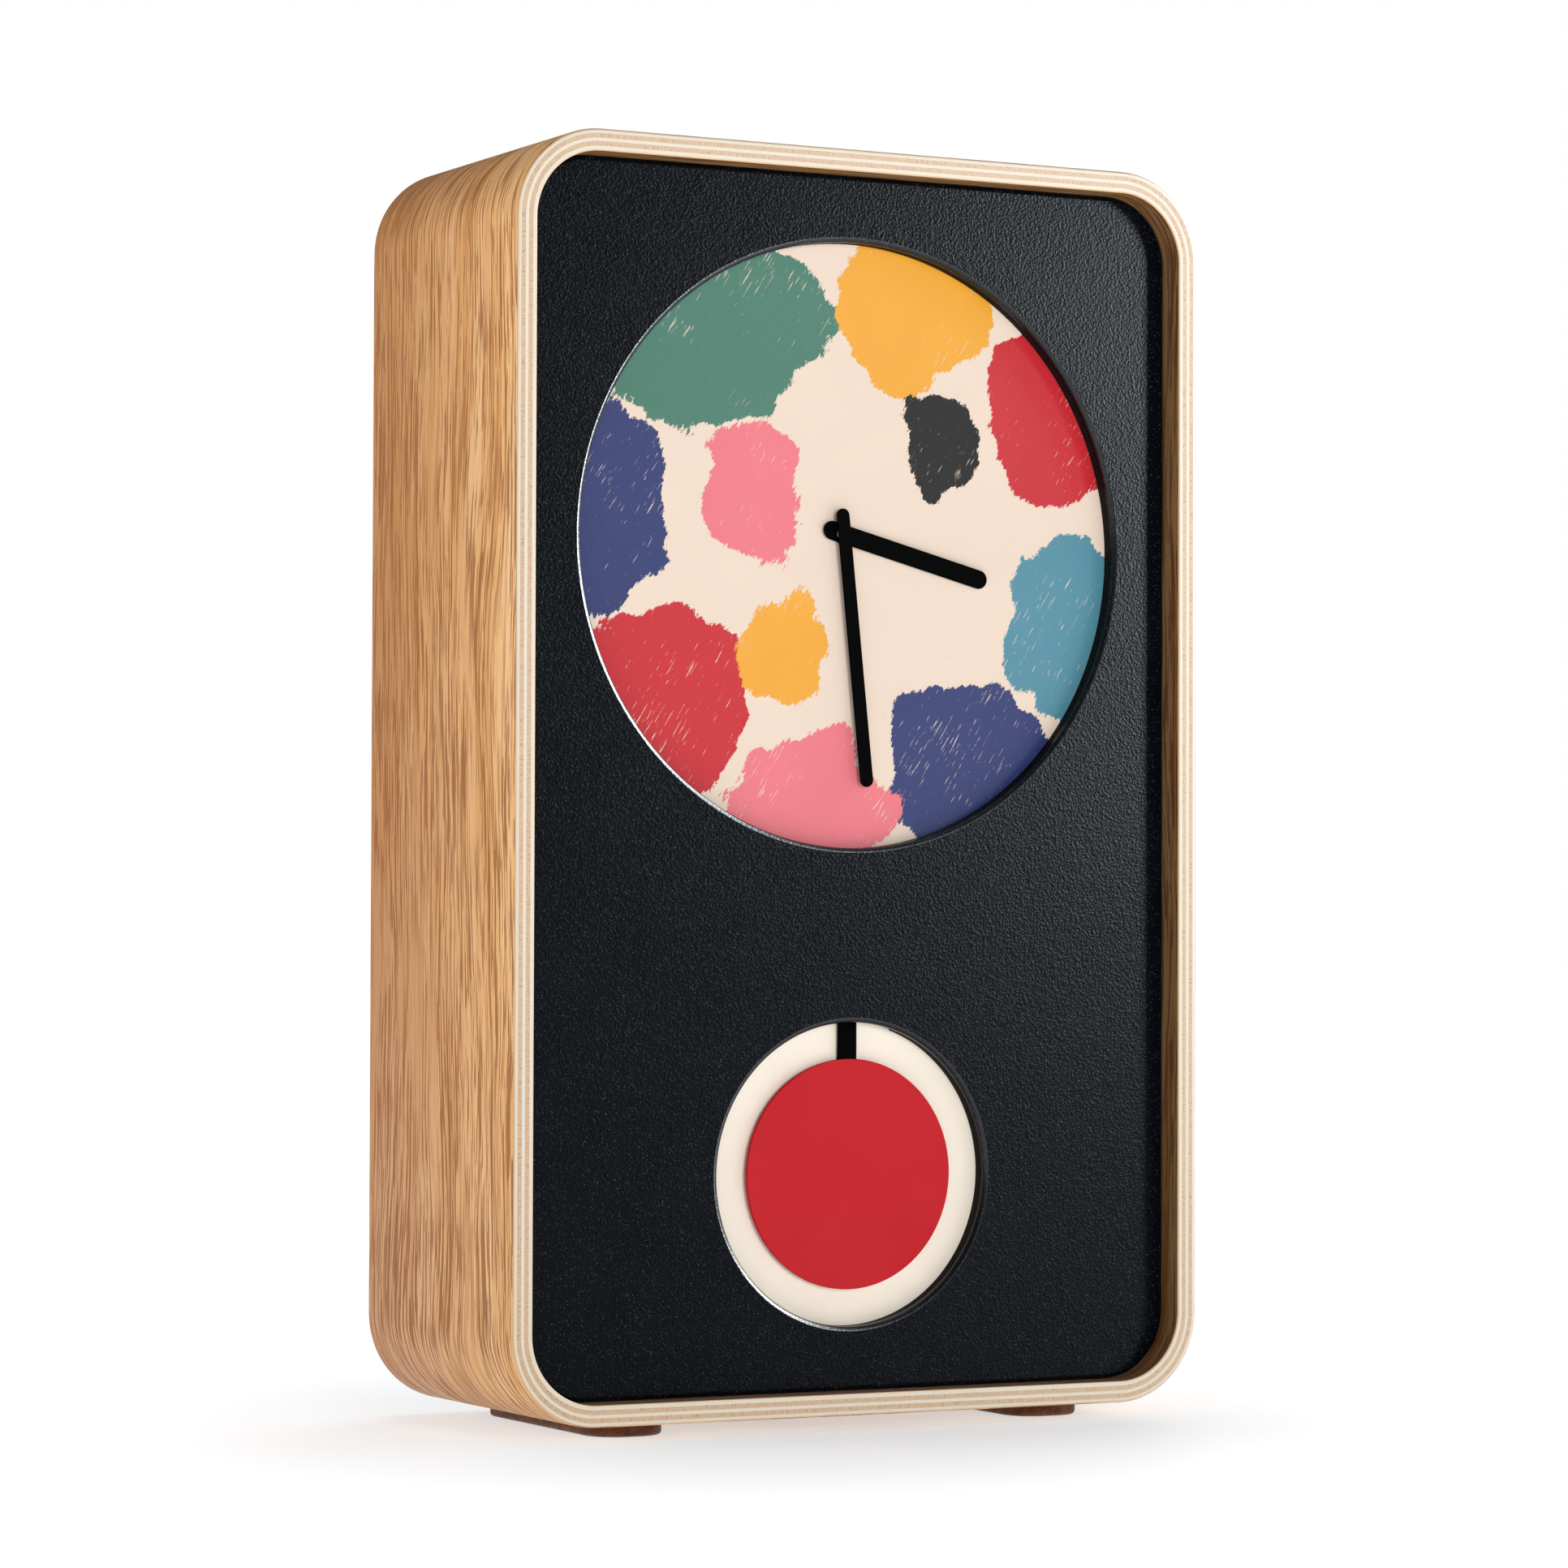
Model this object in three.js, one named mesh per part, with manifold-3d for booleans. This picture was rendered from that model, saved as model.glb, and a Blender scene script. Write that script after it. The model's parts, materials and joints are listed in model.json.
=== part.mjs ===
// Pendulum table clock: a bent plywood case, a dark front panel with a dial window and a
// pendulum window, a quartz movement with its gear train, and a driven pendulum.
// Millimetres, +Z up. The origin is under the middle of the feet and the front faces -Y.

import * as THREE from "three";
import { mergeVertices } from "three/addons/utils/BufferGeometryUtils.js";
import Module from "manifold-3d";

const wasm = await Module();
wasm.setup();

// ---- Driving dimensions -------------------------------------------------------------

const FOOT_HEIGHT = 3.4;
const FOOT_WIDTH = 19.5;
const FOOT_LENGTH = 66;
const FOOT_CORNER_RADIUS = 8;
const FOOT_CENTRE_X = 56.5;

const CASE_WIDTH = 184.4;
const CASE_HEIGHT = 300;
const CASE_DEPTH = 83;
const CASE_WALL = 5.2;
const CASE_CORNER_RADIUS = 21.6;
const CASE_BOTTOM_Z = FOOT_HEIGHT;
const CASE_CENTRE_Z = CASE_BOTTOM_Z + CASE_HEIGHT / 2;
const CASE_FRONT_Y = -CASE_DEPTH / 2;

const PANEL_SETBACK = 6.7; // from the case's front edge to the panel's front face
const PANEL_CLEARANCE = 0.15; // between the panel's edge and the case, all round
const PANEL_THICKNESS = 1.8;
const SPACER_THICKNESS = 2.4;
const GLUE_LINE = 0.05; // between pieces that are glued, pressed or screwed together
const CUT_PAST = 1; // how far a cutting shape runs past the face it cuts through
const DIAL_PLATE_THICKNESS = 1.2;
const DIAL_PLATE_SIZE = 151;
const DIAL_PLATE_CORNER_RADIUS = 10;
const DIAL_HOLE_RADIUS = 72.35;
const DIAL_HOLE_Z = 209.85;

const WINDOW_RADIUS = 36.1;
const WINDOW_Z = 59.9;
const BACKDROP_WIDTH = 92;
const BACKDROP_HEIGHT = 80;
const BACKDROP_THICKNESS = 1;
const BACKDROP_CORNER_RADIUS = 4;
const ROD_CHANNEL_WIDTH = 24;
const ROD_CHANNEL_TOP_Z = 121;
const ARBOR_HOLE_RADIUS = 2.2; // in the dial, round the hour hand's pipe

const CLEAT_SIZE = 10;
const CLEAT_EDGE_RADIUS = 0.6;
const SIDE_CLEAT_LENGTH = 200;
const CROSS_CLEAT_LENGTH = 118;
const SIDE_SCREW_OFFSET = 72; // a side cleat's screws sit this far above and below its middle
const SCREW_SHANK_RADIUS = 1.3;
const SCREW_HOLE_RADIUS = 1.6;
const SCREW_HEAD_RADIUS = 2.8;
const SCREW_HEAD_HEIGHT = 1.7;
const SCREW_LENGTH = 11.8;
const SCREW_TIP_LENGTH = 1;

// The hand axis sits a little up and left of the dial hole's centre.
const HAND_AXIS_X = -1.5;
const HAND_AXIS_Z = DIAL_HOLE_Z + 2.8;
const MINUTE_HAND_ANGLE = 174; // degrees clockwise from twelve, at rest: 29 minutes
const HOUR_HAND_ANGLE = 104.5; // 3 hours and 29 minutes
const MINUTE_HAND = { reach: 60.8, tail: 6, width: 3.4, front: 2.1, back: 2.6 };
const HOUR_HAND = { reach: 41, tail: 5.2, width: 4.5, front: 3.1, back: 3.6 };

// The hands' arbor ends in a blind socket in the minute hand; the hour hand is on a pipe.
const SOCKET_FRONT = 2.3;
const ARBOR_RADIUS = 0.9;
const PIPE_RADIUS = 1.6;
const PIPE_BORE = 1.15;
const PIPE_CLEARANCE = 0.3; // round the pipe, where it leaves the housing

// The pendulum. Heights are from its pivot.
const PENDULUM_PIVOT_Z = 166;
const BOB_RADIUS = 27.4;
const BOB_FRONT = 1.9;
const BOB_BACK = 2.9;
const ROD_WIDTH = 5;
const ROD_THICKNESS = 0.6;
const ROD_TOP = -8;
const ROD_BEND_TOP = -36;
const ROD_BEND_BOTTOM = -58;
const ROD_PAST_BOB_CENTRE = 14;
const HANGER_FRONT = 8.3;
const HANGER_BACK = 9.9;
const HANGER_LENGTH = 23;
const HANGER_RADIUS = 5;
const HANGER_END_HALF_WIDTH = 3.5;
const HANGER_BORE = 1.15;
const PIVOT_RADIUS = 1;
const PIVOT_HEAD_RADIUS = 1.9;
const PIVOT_HEAD_FRONT = 6.7;
const PIVOT_HEAD_BACK = 7.7;
const PIVOT_HOLE_RADIUS = 1.3;
const DRIVE_HEIGHT = -16; // of the magnet, and of the coil behind it
const DRIVE_MAGNET = { radius: 3.4, thickness: 1.5 };
const DRIVE_COIL = { radius: 7.5, bore: 2, length: 5, gap: 0.1 };

// Depths behind the panel's front face. The dial side is at the smaller depths.
const SPACER_FRONT = PANEL_THICKNESS + GLUE_LINE;
const SPACER_BACK = SPACER_FRONT + SPACER_THICKNESS;
const PRINT_FRONT = SPACER_BACK + GLUE_LINE; // the dial's and the backdrop's front faces
const DIAL_BACK = PRINT_FRONT + DIAL_PLATE_THICKNESS;
const PAD_FRONT = DIAL_BACK + GLUE_LINE;
const PAD_BACK = PAD_FRONT + 0.85;
const HOUSING_FRONT = PAD_BACK + GLUE_LINE;
const HOUSING_WALL = 1.4;
const HOUSING_INSIDE = HOUSING_FRONT + HOUSING_WALL;
const HOUSING_BACK = 21.9;
const COVER_FRONT = HOUSING_BACK + GLUE_LINE;
const COVER_BACK = COVER_FRONT + 1.4;
const KNOB_FRONT = COVER_BACK + 0.8;
const KNOB_BACK = KNOB_FRONT + 4.2;

// The movement's housing, measured from the hand axis.
const HOUSING_HALF_WIDTH = 29;
const HOUSING_TOP = 28;
const HOUSING_BOTTOM = -76;
const HOUSING_CORNER_RADIUS = 3;
const RECESS_HALF_WIDTH = 20;
const RECESS_TOP = -35; // the hanger swings in a recess below this height
const RECESS_BACK = HOUSING_FRONT + 6;
const BATTERY_HEIGHT = -19.5;
const BATTERY_DEPTH = 15.6;
const BATTERY_LENGTH = 50;
const BATTERY_RADIUS = 7.15;
const BATTERY_END_RADIUS = 5;
const BATTERY_SHOULDER = 0.4;
const BATTERY_BUTTON_RADIUS = 2.6;
const BATTERY_BUTTON_LENGTH = 1.2;
const BAY_HALF_LENGTH = 27;
const BAY_HALF_HEIGHT = 8.1;
const BAY_WALL = 0.6;
const CONTACT_HALF_SIZE = 5;
const CONTACT_THICKNESS = 0.3;
const CONTACT_SPRING = { tipRadius: 1.6, baseRadius: 3.2, length: 0.9 };
const KNOB_RADIUS = 6.8;
const KNOB_SHAFT_RADIUS = 1.2;
const KNOB_SHAFT_HOLE_RADIUS = 1.6;
const PAD_WIDTH = 44;
const PAD_HEIGHT = 48;
const PAD_CORNER_RADIUS = 3;
const PAD_HOLE_RADIUS = 6;

// Pillars that carry the train bridge, and the bridge's outline.
const PILLARS = [
  [12.5, -8.6],
  [-11.4, 12.4],
  [13, 15],
];
const PILLAR_RADIUS = 1.4;
const BRIDGE_FRONT = 19.7;
const BRIDGE_BACK = 20.7;
const BRIDGE_OUTLINE = [
  [-13, 14],
  [-13, 10.5],
  [-4.5, -5],
  [11, -10],
  [14, -10],
  [19, 2],
  [19, 8],
  [15, 16.6],
  [11, 16.6],
];

// The motor: its stator closes the coil's magnetic loop round the rotor.
const STATOR_OUTLINE = [
  [10.9, 0.2],
  [24.6, 0.2],
  [24.6, 24.6],
  [22.2, 24.6],
  [22.2, 9.4],
  [5.4, 9.4],
  [5.4, 24.6],
  [3, 24.6],
  [3, 6.2],
  [10.9, 6.2],
];
const STATOR_DEPTHS = [17.9, 18.9];
const STATOR_HOLE_RADIUS = 3.3;
const ROTOR_MAGNET_RADIUS = 2.9;
const CORE = { left: 3, right: 24.6, front: 16.2, back: 17.8, bottom: 20.9, top: 23.1 };
const COIL = { left: 6, length: 15.6, bore: 1.7, radius: 2.5, flange: 0.7, flangeRadius: 2.9 };

// The circuit board, with its chip's blob and its crystal on the front.
const BOARD = { x: -21.6, z: 15.5, width: 11, height: 18, corner: 0.8, front: 17, back: 17.8 };
const CHIP_HEIGHT = 11.5;
const CRYSTAL = { radius: 1, length: 6, z: 20, gap: 0.1 };

// Gears. The motion work joins the two hands; the train joins the motor to the centre wheel.
const MOTION_MODULE = 0.4;
const TRAIN_MODULE = 0.3;
const CANNON_TEETH = 10;
const MINUTE_WHEEL_TEETH = 30;
const MINUTE_PINION_TEETH = 8;
const HOUR_WHEEL_TEETH = 32;
const SETTING_TEETH = 12;
const PINION_TEETH = 8;
const FIFTH_WHEEL_TEETH = 48;
const FIFTH_PINION_TEETH = 10;
const SECONDS_WHEEL_TEETH = 50;
const THIRD_WHEEL_TEETH = 60;
const CENTRE_WHEEL_TEETH = 64;

// Depths of the wheels. A pinion meets its wheel, and each wheel clears the next arbor's.
const ARBOR_DEPTHS = [SOCKET_FRONT + GLUE_LINE, 12.3];
const CANNON_DEPTHS = [9.5, 10.8];
const HOUR_PIPE_DEPTHS = [2.9, 8.2];
const HOUR_WHEEL_DEPTHS = [8.2, 9.1];
const MINUTE_PINION_DEPTHS = [8.1, 9.6];
const MINUTE_WHEEL_DEPTHS = [9.6, 10.4];
const CENTRE_WHEEL_DEPTHS = [11.2, 12];
const THIRD_PINION_DEPTHS = [11.1, 12.8];
const THIRD_WHEEL_DEPTHS = [12.8, 13.6];
const SECONDS_PINION_DEPTHS = [12.7, 14.4];
const SECONDS_WHEEL_DEPTHS = [14.4, 15.2];
const FIFTH_PINION_DEPTHS = [14.2, 16];
const FIFTH_WHEEL_DEPTHS = [16, 16.8];
const ROTOR_PINION_DEPTHS = [15.6, 17.2];
const ROTOR_MAGNET_DEPTHS = [17.25, 19.2];

// Pins run through the wheels; the minute wheel turns on a thicker post of the housing.
const PIN_RADIUS = 0.4;
const PIN_BORE = 0.5;
const POST_RADIUS = 0.5;
const POST_BORE = 0.7;
const POST_BACK = 10.9;
const CLUTCH_GAP = 0.1; // between the minute arbor and the centre wheel, which slips on it

// Tooth form, in modules and in parts of the tooth pitch. The thin teeth leave backlash.
const TOOTH_ADDENDUM = 0.72;
const TOOTH_DEDENDUM = 1.1;
const TOOTH_TIP_PART = 0.15;
const TOOTH_ROOT_PART = 0.5;

const LARGE_CIRCLE_STEPS = 72;
const MEDIUM_CIRCLE_STEPS = 28;
const SMALL_CIRCLE_STEPS = 14;
const PIN_STEPS = 12;

// ---- Materials ----------------------------------------------------------------------

const material = (color, roughness, metalness = 0) =>
  new THREE.MeshStandardMaterial({ color, roughness, metalness });

const OAK = material(0xd0a070, 0.5);
const FELT = material(0x4a2817, 0.95);
const PANEL_BLACK = material(0x14181d, 0.55);
const BOARD_BLACK = material(0x101010, 0.9);
const PINE = material(0xd9bd8c, 0.75);
const DIAL_CREAM = material(0xf0dcc8, 0.85);
const BOB_RED = material(0xcc3139, 0.7);
const HAND_BLACK = material(0x050505, 0.6);
const HOUSING_PLASTIC = material(0x1b1c1e, 0.45);
const COVER_PLASTIC = material(0x26282b, 0.5);
const FOAM = material(0xe8e8e4, 0.95);
const NYLON = material(0xf2efe6, 0.4);
const ACETAL = material(0xd9d4c5, 0.4);
const STEEL = material(0xb8babd, 0.3, 1);
const BRASS = material(0xc8a45a, 0.35, 1);
const COPPER = material(0xb5652f, 0.35, 1);
const MAGNET = material(0x55585c, 0.35, 1);
const BOARD_GREEN = material(0x1f5b3a, 0.5);
const EPOXY = material(0x0b0b0c, 0.25);
const CELL_JACKET = material(0xc9cdd2, 0.35, 0.6);

// ---- Shapes and solids --------------------------------------------------------------

const radians = THREE.MathUtils.degToRad;

function circlePath(radius, steps, x = 0, y = 0) {
  const points = [];
  for (let i = 0; i < steps; i++) {
    const angle = (2 * Math.PI * i) / steps;
    points.push(new THREE.Vector2(x + radius * Math.cos(angle), y + radius * Math.sin(angle)));
  }
  return new THREE.Path(points);
}

function disc(radius, steps, x = 0, y = 0) {
  return new THREE.Shape(circlePath(radius, steps, x, y).getPoints());
}

// Segments in a rounded corner: a larger corner is cut finer.
function cornerSteps(radius) {
  if (radius > 12) return 10;
  return radius > 4 ? 6 : 3;
}

function roundedRectangle(width, height, radius, x = 0, y = 0) {
  const steps = cornerSteps(radius);
  const points = [];
  const corners = [
    [1, 1, 0],
    [-1, 1, 90],
    [-1, -1, 180],
    [1, -1, 270],
  ];
  for (const [sideX, sideY, start] of corners) {
    const centreX = x + sideX * (width / 2 - radius);
    const centreY = y + sideY * (height / 2 - radius);
    for (let i = 0; i <= steps; i++) {
      const angle = radians(start + (90 * i) / steps);
      points.push(
        new THREE.Vector2(centreX + radius * Math.cos(angle), centreY + radius * Math.sin(angle)),
      );
    }
  }
  return new THREE.Shape(points);
}

// A shape drawn as the clock is seen from the front, made solid between two depths.
function slab(shape, front, back) {
  return new THREE.ExtrudeGeometry(shape, { depth: back - front, bevelEnabled: false })
    .rotateX(Math.PI / 2)
    .translate(0, back, 0);
}

// A turned piece on the depth axis, from [depth, radius] points. It is closed on the axis.
function turned(profile, steps = SMALL_CIRCLE_STEPS) {
  const points = profile.map(([depth, radius]) => new THREE.Vector2(radius, depth));
  return new THREE.LatheGeometry(points, steps);
}

// A plain round pin or hole along the depth axis, at a place [x, z].
function pin(radius, front, back, [x, z], steps = PIN_STEPS) {
  const profile = [
    [front, 0],
    [front, radius],
    [back, radius],
    [back, 0],
  ];
  return turned(profile, steps).translate(x, 0, z);
}

function outlineOf(points) {
  return new THREE.Shape(points.map(([x, z]) => new THREE.Vector2(x, z)));
}

function block(x0, x1, front, back, z0, z1) {
  return new THREE.BoxGeometry(x1 - x0, back - front, z1 - z0).translate(
    (x0 + x1) / 2,
    (front + back) / 2,
    (z0 + z1) / 2,
  );
}

function solid(geometry) {
  const bare = geometry.clone();
  bare.deleteAttribute("normal");
  bare.deleteAttribute("uv");
  const merged = mergeVertices(bare, 1e-4);
  return new wasm.Manifold(
    new wasm.Mesh({
      numProp: 3,
      vertProperties: new Float32Array(merged.attributes.position.array),
      triVerts: new Uint32Array(merged.index.array),
    }),
  );
}

function geometryOf(manifold) {
  const mesh = manifold.getMesh();
  return new THREE.BufferGeometry()
    .setAttribute("position", new THREE.BufferAttribute(mesh.vertProperties, 3))
    .setIndex(new THREE.BufferAttribute(mesh.triVerts, 1));
}

const joined = (...geometries) => geometries.map(solid).reduce((sum, next) => sum.add(next));

function part(group, name, geometry, look, x = 0, depth = 0, z = 0) {
  const mesh = new THREE.Mesh(geometry, look);
  mesh.name = name;
  mesh.position.set(x, depth, z);
  group.add(mesh);
  return mesh;
}

// ---- Case and feet ------------------------------------------------------------------

const clock = new THREE.Group();

function buildCase() {
  const innerWidth = CASE_WIDTH - 2 * CASE_WALL;
  const innerHeight = CASE_HEIGHT - 2 * CASE_WALL;
  const ring = roundedRectangle(CASE_WIDTH, CASE_HEIGHT, CASE_CORNER_RADIUS);
  const innerRadius = CASE_CORNER_RADIUS - CASE_WALL;
  ring.holes.push(roundedRectangle(innerWidth, innerHeight, innerRadius));
  part(clock, "plywood_case", slab(ring, 0, CASE_DEPTH), OAK, 0, CASE_FRONT_Y, CASE_CENTRE_Z);

  const outline = roundedRectangle(FOOT_WIDTH, FOOT_LENGTH, FOOT_CORNER_RADIUS);
  const pad = new THREE.ExtrudeGeometry(outline, { depth: FOOT_HEIGHT, bevelEnabled: false });
  part(clock, "foot_pad_left", pad, FELT, -FOOT_CENTRE_X);
  part(clock, "foot_pad_right", pad, FELT, FOOT_CENTRE_X);
}

// ---- Front panel, dial and pendulum window ------------------------------------------

// Everything behind the panel is placed by its depth from the panel's front face.
const face = new THREE.Group();
face.position.y = CASE_FRONT_Y + PANEL_SETBACK;
clock.add(face);

function buildPanel() {
  const width = CASE_WIDTH - 2 * (CASE_WALL + PANEL_CLEARANCE);
  const height = CASE_HEIGHT - 2 * (CASE_WALL + PANEL_CLEARANCE);
  const radius = CASE_CORNER_RADIUS - CASE_WALL - PANEL_CLEARANCE;
  const dialHole = circlePath(DIAL_HOLE_RADIUS, LARGE_CIRCLE_STEPS, 0, DIAL_HOLE_Z);
  const windowHole = circlePath(WINDOW_RADIUS, LARGE_CIRCLE_STEPS, 0, WINDOW_Z);

  const panel = roundedRectangle(width, height, radius, 0, CASE_CENTRE_Z);
  panel.holes.push(dialHole, windowHole);
  part(face, "front_panel", slab(panel, 0, PANEL_THICKNESS), PANEL_BLACK);

  // The spacer board keeps the rod and the bob clear of the prints. A channel above the
  // window lets the rod come forward into it.
  const board = roundedRectangle(width, height, radius, 0, CASE_CENTRE_Z);
  board.holes.push(dialHole, windowHole);
  for (const [x, z] of screwPlaces()) {
    board.holes.push(circlePath(SCREW_HOLE_RADIUS, SMALL_CIRCLE_STEPS, x, z));
  }
  const halfChannel = ROD_CHANNEL_WIDTH / 2;
  const channel = block(
    -halfChannel,
    halfChannel,
    SPACER_FRONT - CUT_PAST,
    SPACER_BACK + CUT_PAST,
    WINDOW_Z,
    ROD_CHANNEL_TOP_Z,
  );
  const spacer = solid(slab(board, SPACER_FRONT, SPACER_BACK)).subtract(solid(channel));
  part(face, "panel_spacer_board", geometryOf(spacer), BOARD_BLACK);

  const dial = roundedRectangle(DIAL_PLATE_SIZE, DIAL_PLATE_SIZE, DIAL_PLATE_CORNER_RADIUS);
  const axisHeight = HAND_AXIS_Z - DIAL_HOLE_Z;
  dial.holes.push(circlePath(ARBOR_HOLE_RADIUS, SMALL_CIRCLE_STEPS, HAND_AXIS_X, axisHeight));
  const dialSolid = slab(dial, PRINT_FRONT, DIAL_BACK);
  part(face, "dial_plate", dialSolid, DIAL_CREAM, 0, 0, DIAL_HOLE_Z);

  const card = roundedRectangle(BACKDROP_WIDTH, BACKDROP_HEIGHT, BACKDROP_CORNER_RADIUS);
  const cardSolid = slab(card, PRINT_FRONT, PRINT_FRONT + BACKDROP_THICKNESS);
  part(face, "pendulum_backdrop", cardSolid, DIAL_CREAM, 0, 0, WINDOW_Z);
}

// ---- Cleats and screws that hold the panel ------------------------------------------

const sideCleatX = CASE_WIDTH / 2 - CASE_WALL - GLUE_LINE - CLEAT_SIZE / 2;
const crossCleatZ = CASE_HEIGHT / 2 - CASE_WALL - GLUE_LINE - CLEAT_SIZE / 2;

function screwPlaces() {
  return [
    [-sideCleatX, CASE_CENTRE_Z - SIDE_SCREW_OFFSET],
    [-sideCleatX, CASE_CENTRE_Z + SIDE_SCREW_OFFSET],
    [sideCleatX, CASE_CENTRE_Z - SIDE_SCREW_OFFSET],
    [sideCleatX, CASE_CENTRE_Z + SIDE_SCREW_OFFSET],
    [0, CASE_CENTRE_Z - crossCleatZ],
    [0, CASE_CENTRE_Z + crossCleatZ],
  ];
}

function cleat(width, height, holes) {
  const outline = roundedRectangle(width, height, CLEAT_EDGE_RADIUS);
  for (const [x, z] of holes) {
    outline.holes.push(circlePath(SCREW_HOLE_RADIUS, SMALL_CIRCLE_STEPS, x, z));
  }
  return slab(outline, PRINT_FRONT, PRINT_FRONT + CLEAT_SIZE);
}

function buildCleats() {
  const sideHoles = [
    [0, -SIDE_SCREW_OFFSET],
    [0, SIDE_SCREW_OFFSET],
  ];
  const side = cleat(CLEAT_SIZE, SIDE_CLEAT_LENGTH, sideHoles);
  const cross = cleat(CROSS_CLEAT_LENGTH, CLEAT_SIZE, [[0, 0]]);
  part(face, "panel_cleat_left", side, PINE, -sideCleatX, 0, CASE_CENTRE_Z);
  part(face, "panel_cleat_right", side, PINE, sideCleatX, 0, CASE_CENTRE_Z);
  part(face, "panel_cleat_bottom", cross, PINE, 0, 0, CASE_CENTRE_Z - crossCleatZ);
  part(face, "panel_cleat_top", cross, PINE, 0, 0, CASE_CENTRE_Z + crossCleatZ);

  const headFront = PRINT_FRONT + CLEAT_SIZE + GLUE_LINE;
  const screw = turned([
    [headFront - SCREW_LENGTH, 0],
    [headFront - SCREW_LENGTH + SCREW_TIP_LENGTH, SCREW_SHANK_RADIUS],
    [headFront, SCREW_SHANK_RADIUS],
    [headFront, SCREW_HEAD_RADIUS],
    [headFront + SCREW_HEAD_HEIGHT * 0.6, SCREW_HEAD_RADIUS],
    [headFront + SCREW_HEAD_HEIGHT, SCREW_HEAD_RADIUS * 0.6],
    [headFront + SCREW_HEAD_HEIGHT, 0],
  ]);
  screwPlaces().forEach(([x, z], index) => {
    part(face, `panel_screw_${index + 1}`, screw, STEEL, x, 0, z);
  });
}

// ---- Hands --------------------------------------------------------------------------

// Everything on the hand axis is placed from it.
const movement = new THREE.Group();
movement.position.set(HAND_AXIS_X, 0, HAND_AXIS_Z);
face.add(movement);

// A flat stick with round ends, pointing up.
function handOutline(hand) {
  const length = hand.reach + hand.tail;
  const endRadius = hand.width / 2 - 0.01; // just short of a half circle, so no point repeats
  return roundedRectangle(hand.width, length, endRadius, 0, hand.reach - length / 2);
}

function buildHands() {
  const stick = slab(handOutline(MINUTE_HAND), MINUTE_HAND.front, MINUTE_HAND.back);
  const socketBack = MINUTE_HAND.back + CUT_PAST;
  const socketRadius = ARBOR_RADIUS + GLUE_LINE;
  const socket = pin(socketRadius, SOCKET_FRONT, socketBack, [0, 0], SMALL_CIRCLE_STEPS);
  const minute = geometryOf(solid(stick).subtract(solid(socket)));
  const minuteHand = part(movement, "minute_hand", minute, HAND_BLACK);
  minuteHand.rotation.y = radians(MINUTE_HAND_ANGLE);

  const outline = handOutline(HOUR_HAND);
  outline.holes.push(circlePath(PIPE_RADIUS + GLUE_LINE, SMALL_CIRCLE_STEPS));
  const hour = slab(outline, HOUR_HAND.front, HOUR_HAND.back);
  const hourHand = part(movement, "hour_hand", hour, HAND_BLACK);
  hourHand.rotation.y = radians(HOUR_HAND_ANGLE);
}

// ---- Gears --------------------------------------------------------------------------

const TURN = 2 * Math.PI;

// A wheel's outline with one tooth's middle at the angle "phase", and a bore.
function gearShape(teeth, module, phase, boreRadius) {
  const pitch = TURN / teeth;
  const pitchRadius = (teeth * module) / 2;
  const tip = pitchRadius + TOOTH_ADDENDUM * module;
  const root = pitchRadius - TOOTH_DEDENDUM * module;
  const points = [];
  for (let i = 0; i < teeth; i++) {
    const middle = phase + i * pitch;
    const corners = [
      [root, -TOOTH_ROOT_PART / 2],
      [tip, -TOOTH_TIP_PART / 2],
      [tip, TOOTH_TIP_PART / 2],
      [root, TOOTH_ROOT_PART / 2],
    ];
    for (const [radius, share] of corners) {
      const angle = middle + share * pitch;
      points.push(new THREE.Vector2(radius * Math.cos(angle), radius * Math.sin(angle)));
    }
  }
  const shape = new THREE.Shape(points);
  if (boreRadius > 0) {
    shape.holes.push(circlePath(boreRadius, SMALL_CIRCLE_STEPS));
  }
  return shape;
}

// The phase that puts a second wheel in mesh with a first one, seen from the first at "angle".
function meshPhase(phase, teeth, otherTeeth, angle) {
  const along = ((angle - phase) * teeth) / TURN;
  const offset = along - Math.floor(along);
  return angle + Math.PI + (0.5 + offset) * (TURN / otherTeeth);
}

const polar = (radius, angle) => [radius * Math.cos(angle), radius * Math.sin(angle)];

// Arbor places, from the hand axis.
const motionDistance = ((CANNON_TEETH + MINUTE_WHEEL_TEETH) / 2) * MOTION_MODULE;
const settingDistance = ((SETTING_TEETH + MINUTE_WHEEL_TEETH) / 2) * MOTION_MODULE;
const thirdDistance = ((PINION_TEETH + THIRD_WHEEL_TEETH) / 2) * TRAIN_MODULE;
const fifthDistance = ((FIFTH_PINION_TEETH + SECONDS_WHEEL_TEETH) / 2) * TRAIN_MODULE;
const rotorDistance = ((PINION_TEETH + FIFTH_WHEEL_TEETH) / 2) * TRAIN_MODULE;
// The centre wheel and its pinion share the third wheel's distance, so their module follows.
const CENTRE_MODULE = thirdDistance / ((PINION_TEETH + CENTRE_WHEEL_TEETH) / 2);

const MINUTE_WHEEL_DIRECTION = Math.PI;
const SETTING_DIRECTION = Math.PI;
const THIRD_DIRECTION = Math.PI / 2;
const FIFTH_DIRECTION = 0;
const ROTOR_DIRECTION = radians(35);

const minutePlace = polar(motionDistance, MINUTE_WHEEL_DIRECTION);
const settingPlace = [minutePlace[0] - settingDistance, minutePlace[1]];
const thirdPlace = polar(thirdDistance, THIRD_DIRECTION);
const fifthPlace = polar(fifthDistance, FIFTH_DIRECTION);
const rotorStep = polar(rotorDistance, ROTOR_DIRECTION);
const rotorPlace = [fifthPlace[0] + rotorStep[0], fifthPlace[1] + rotorStep[1]];

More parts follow.
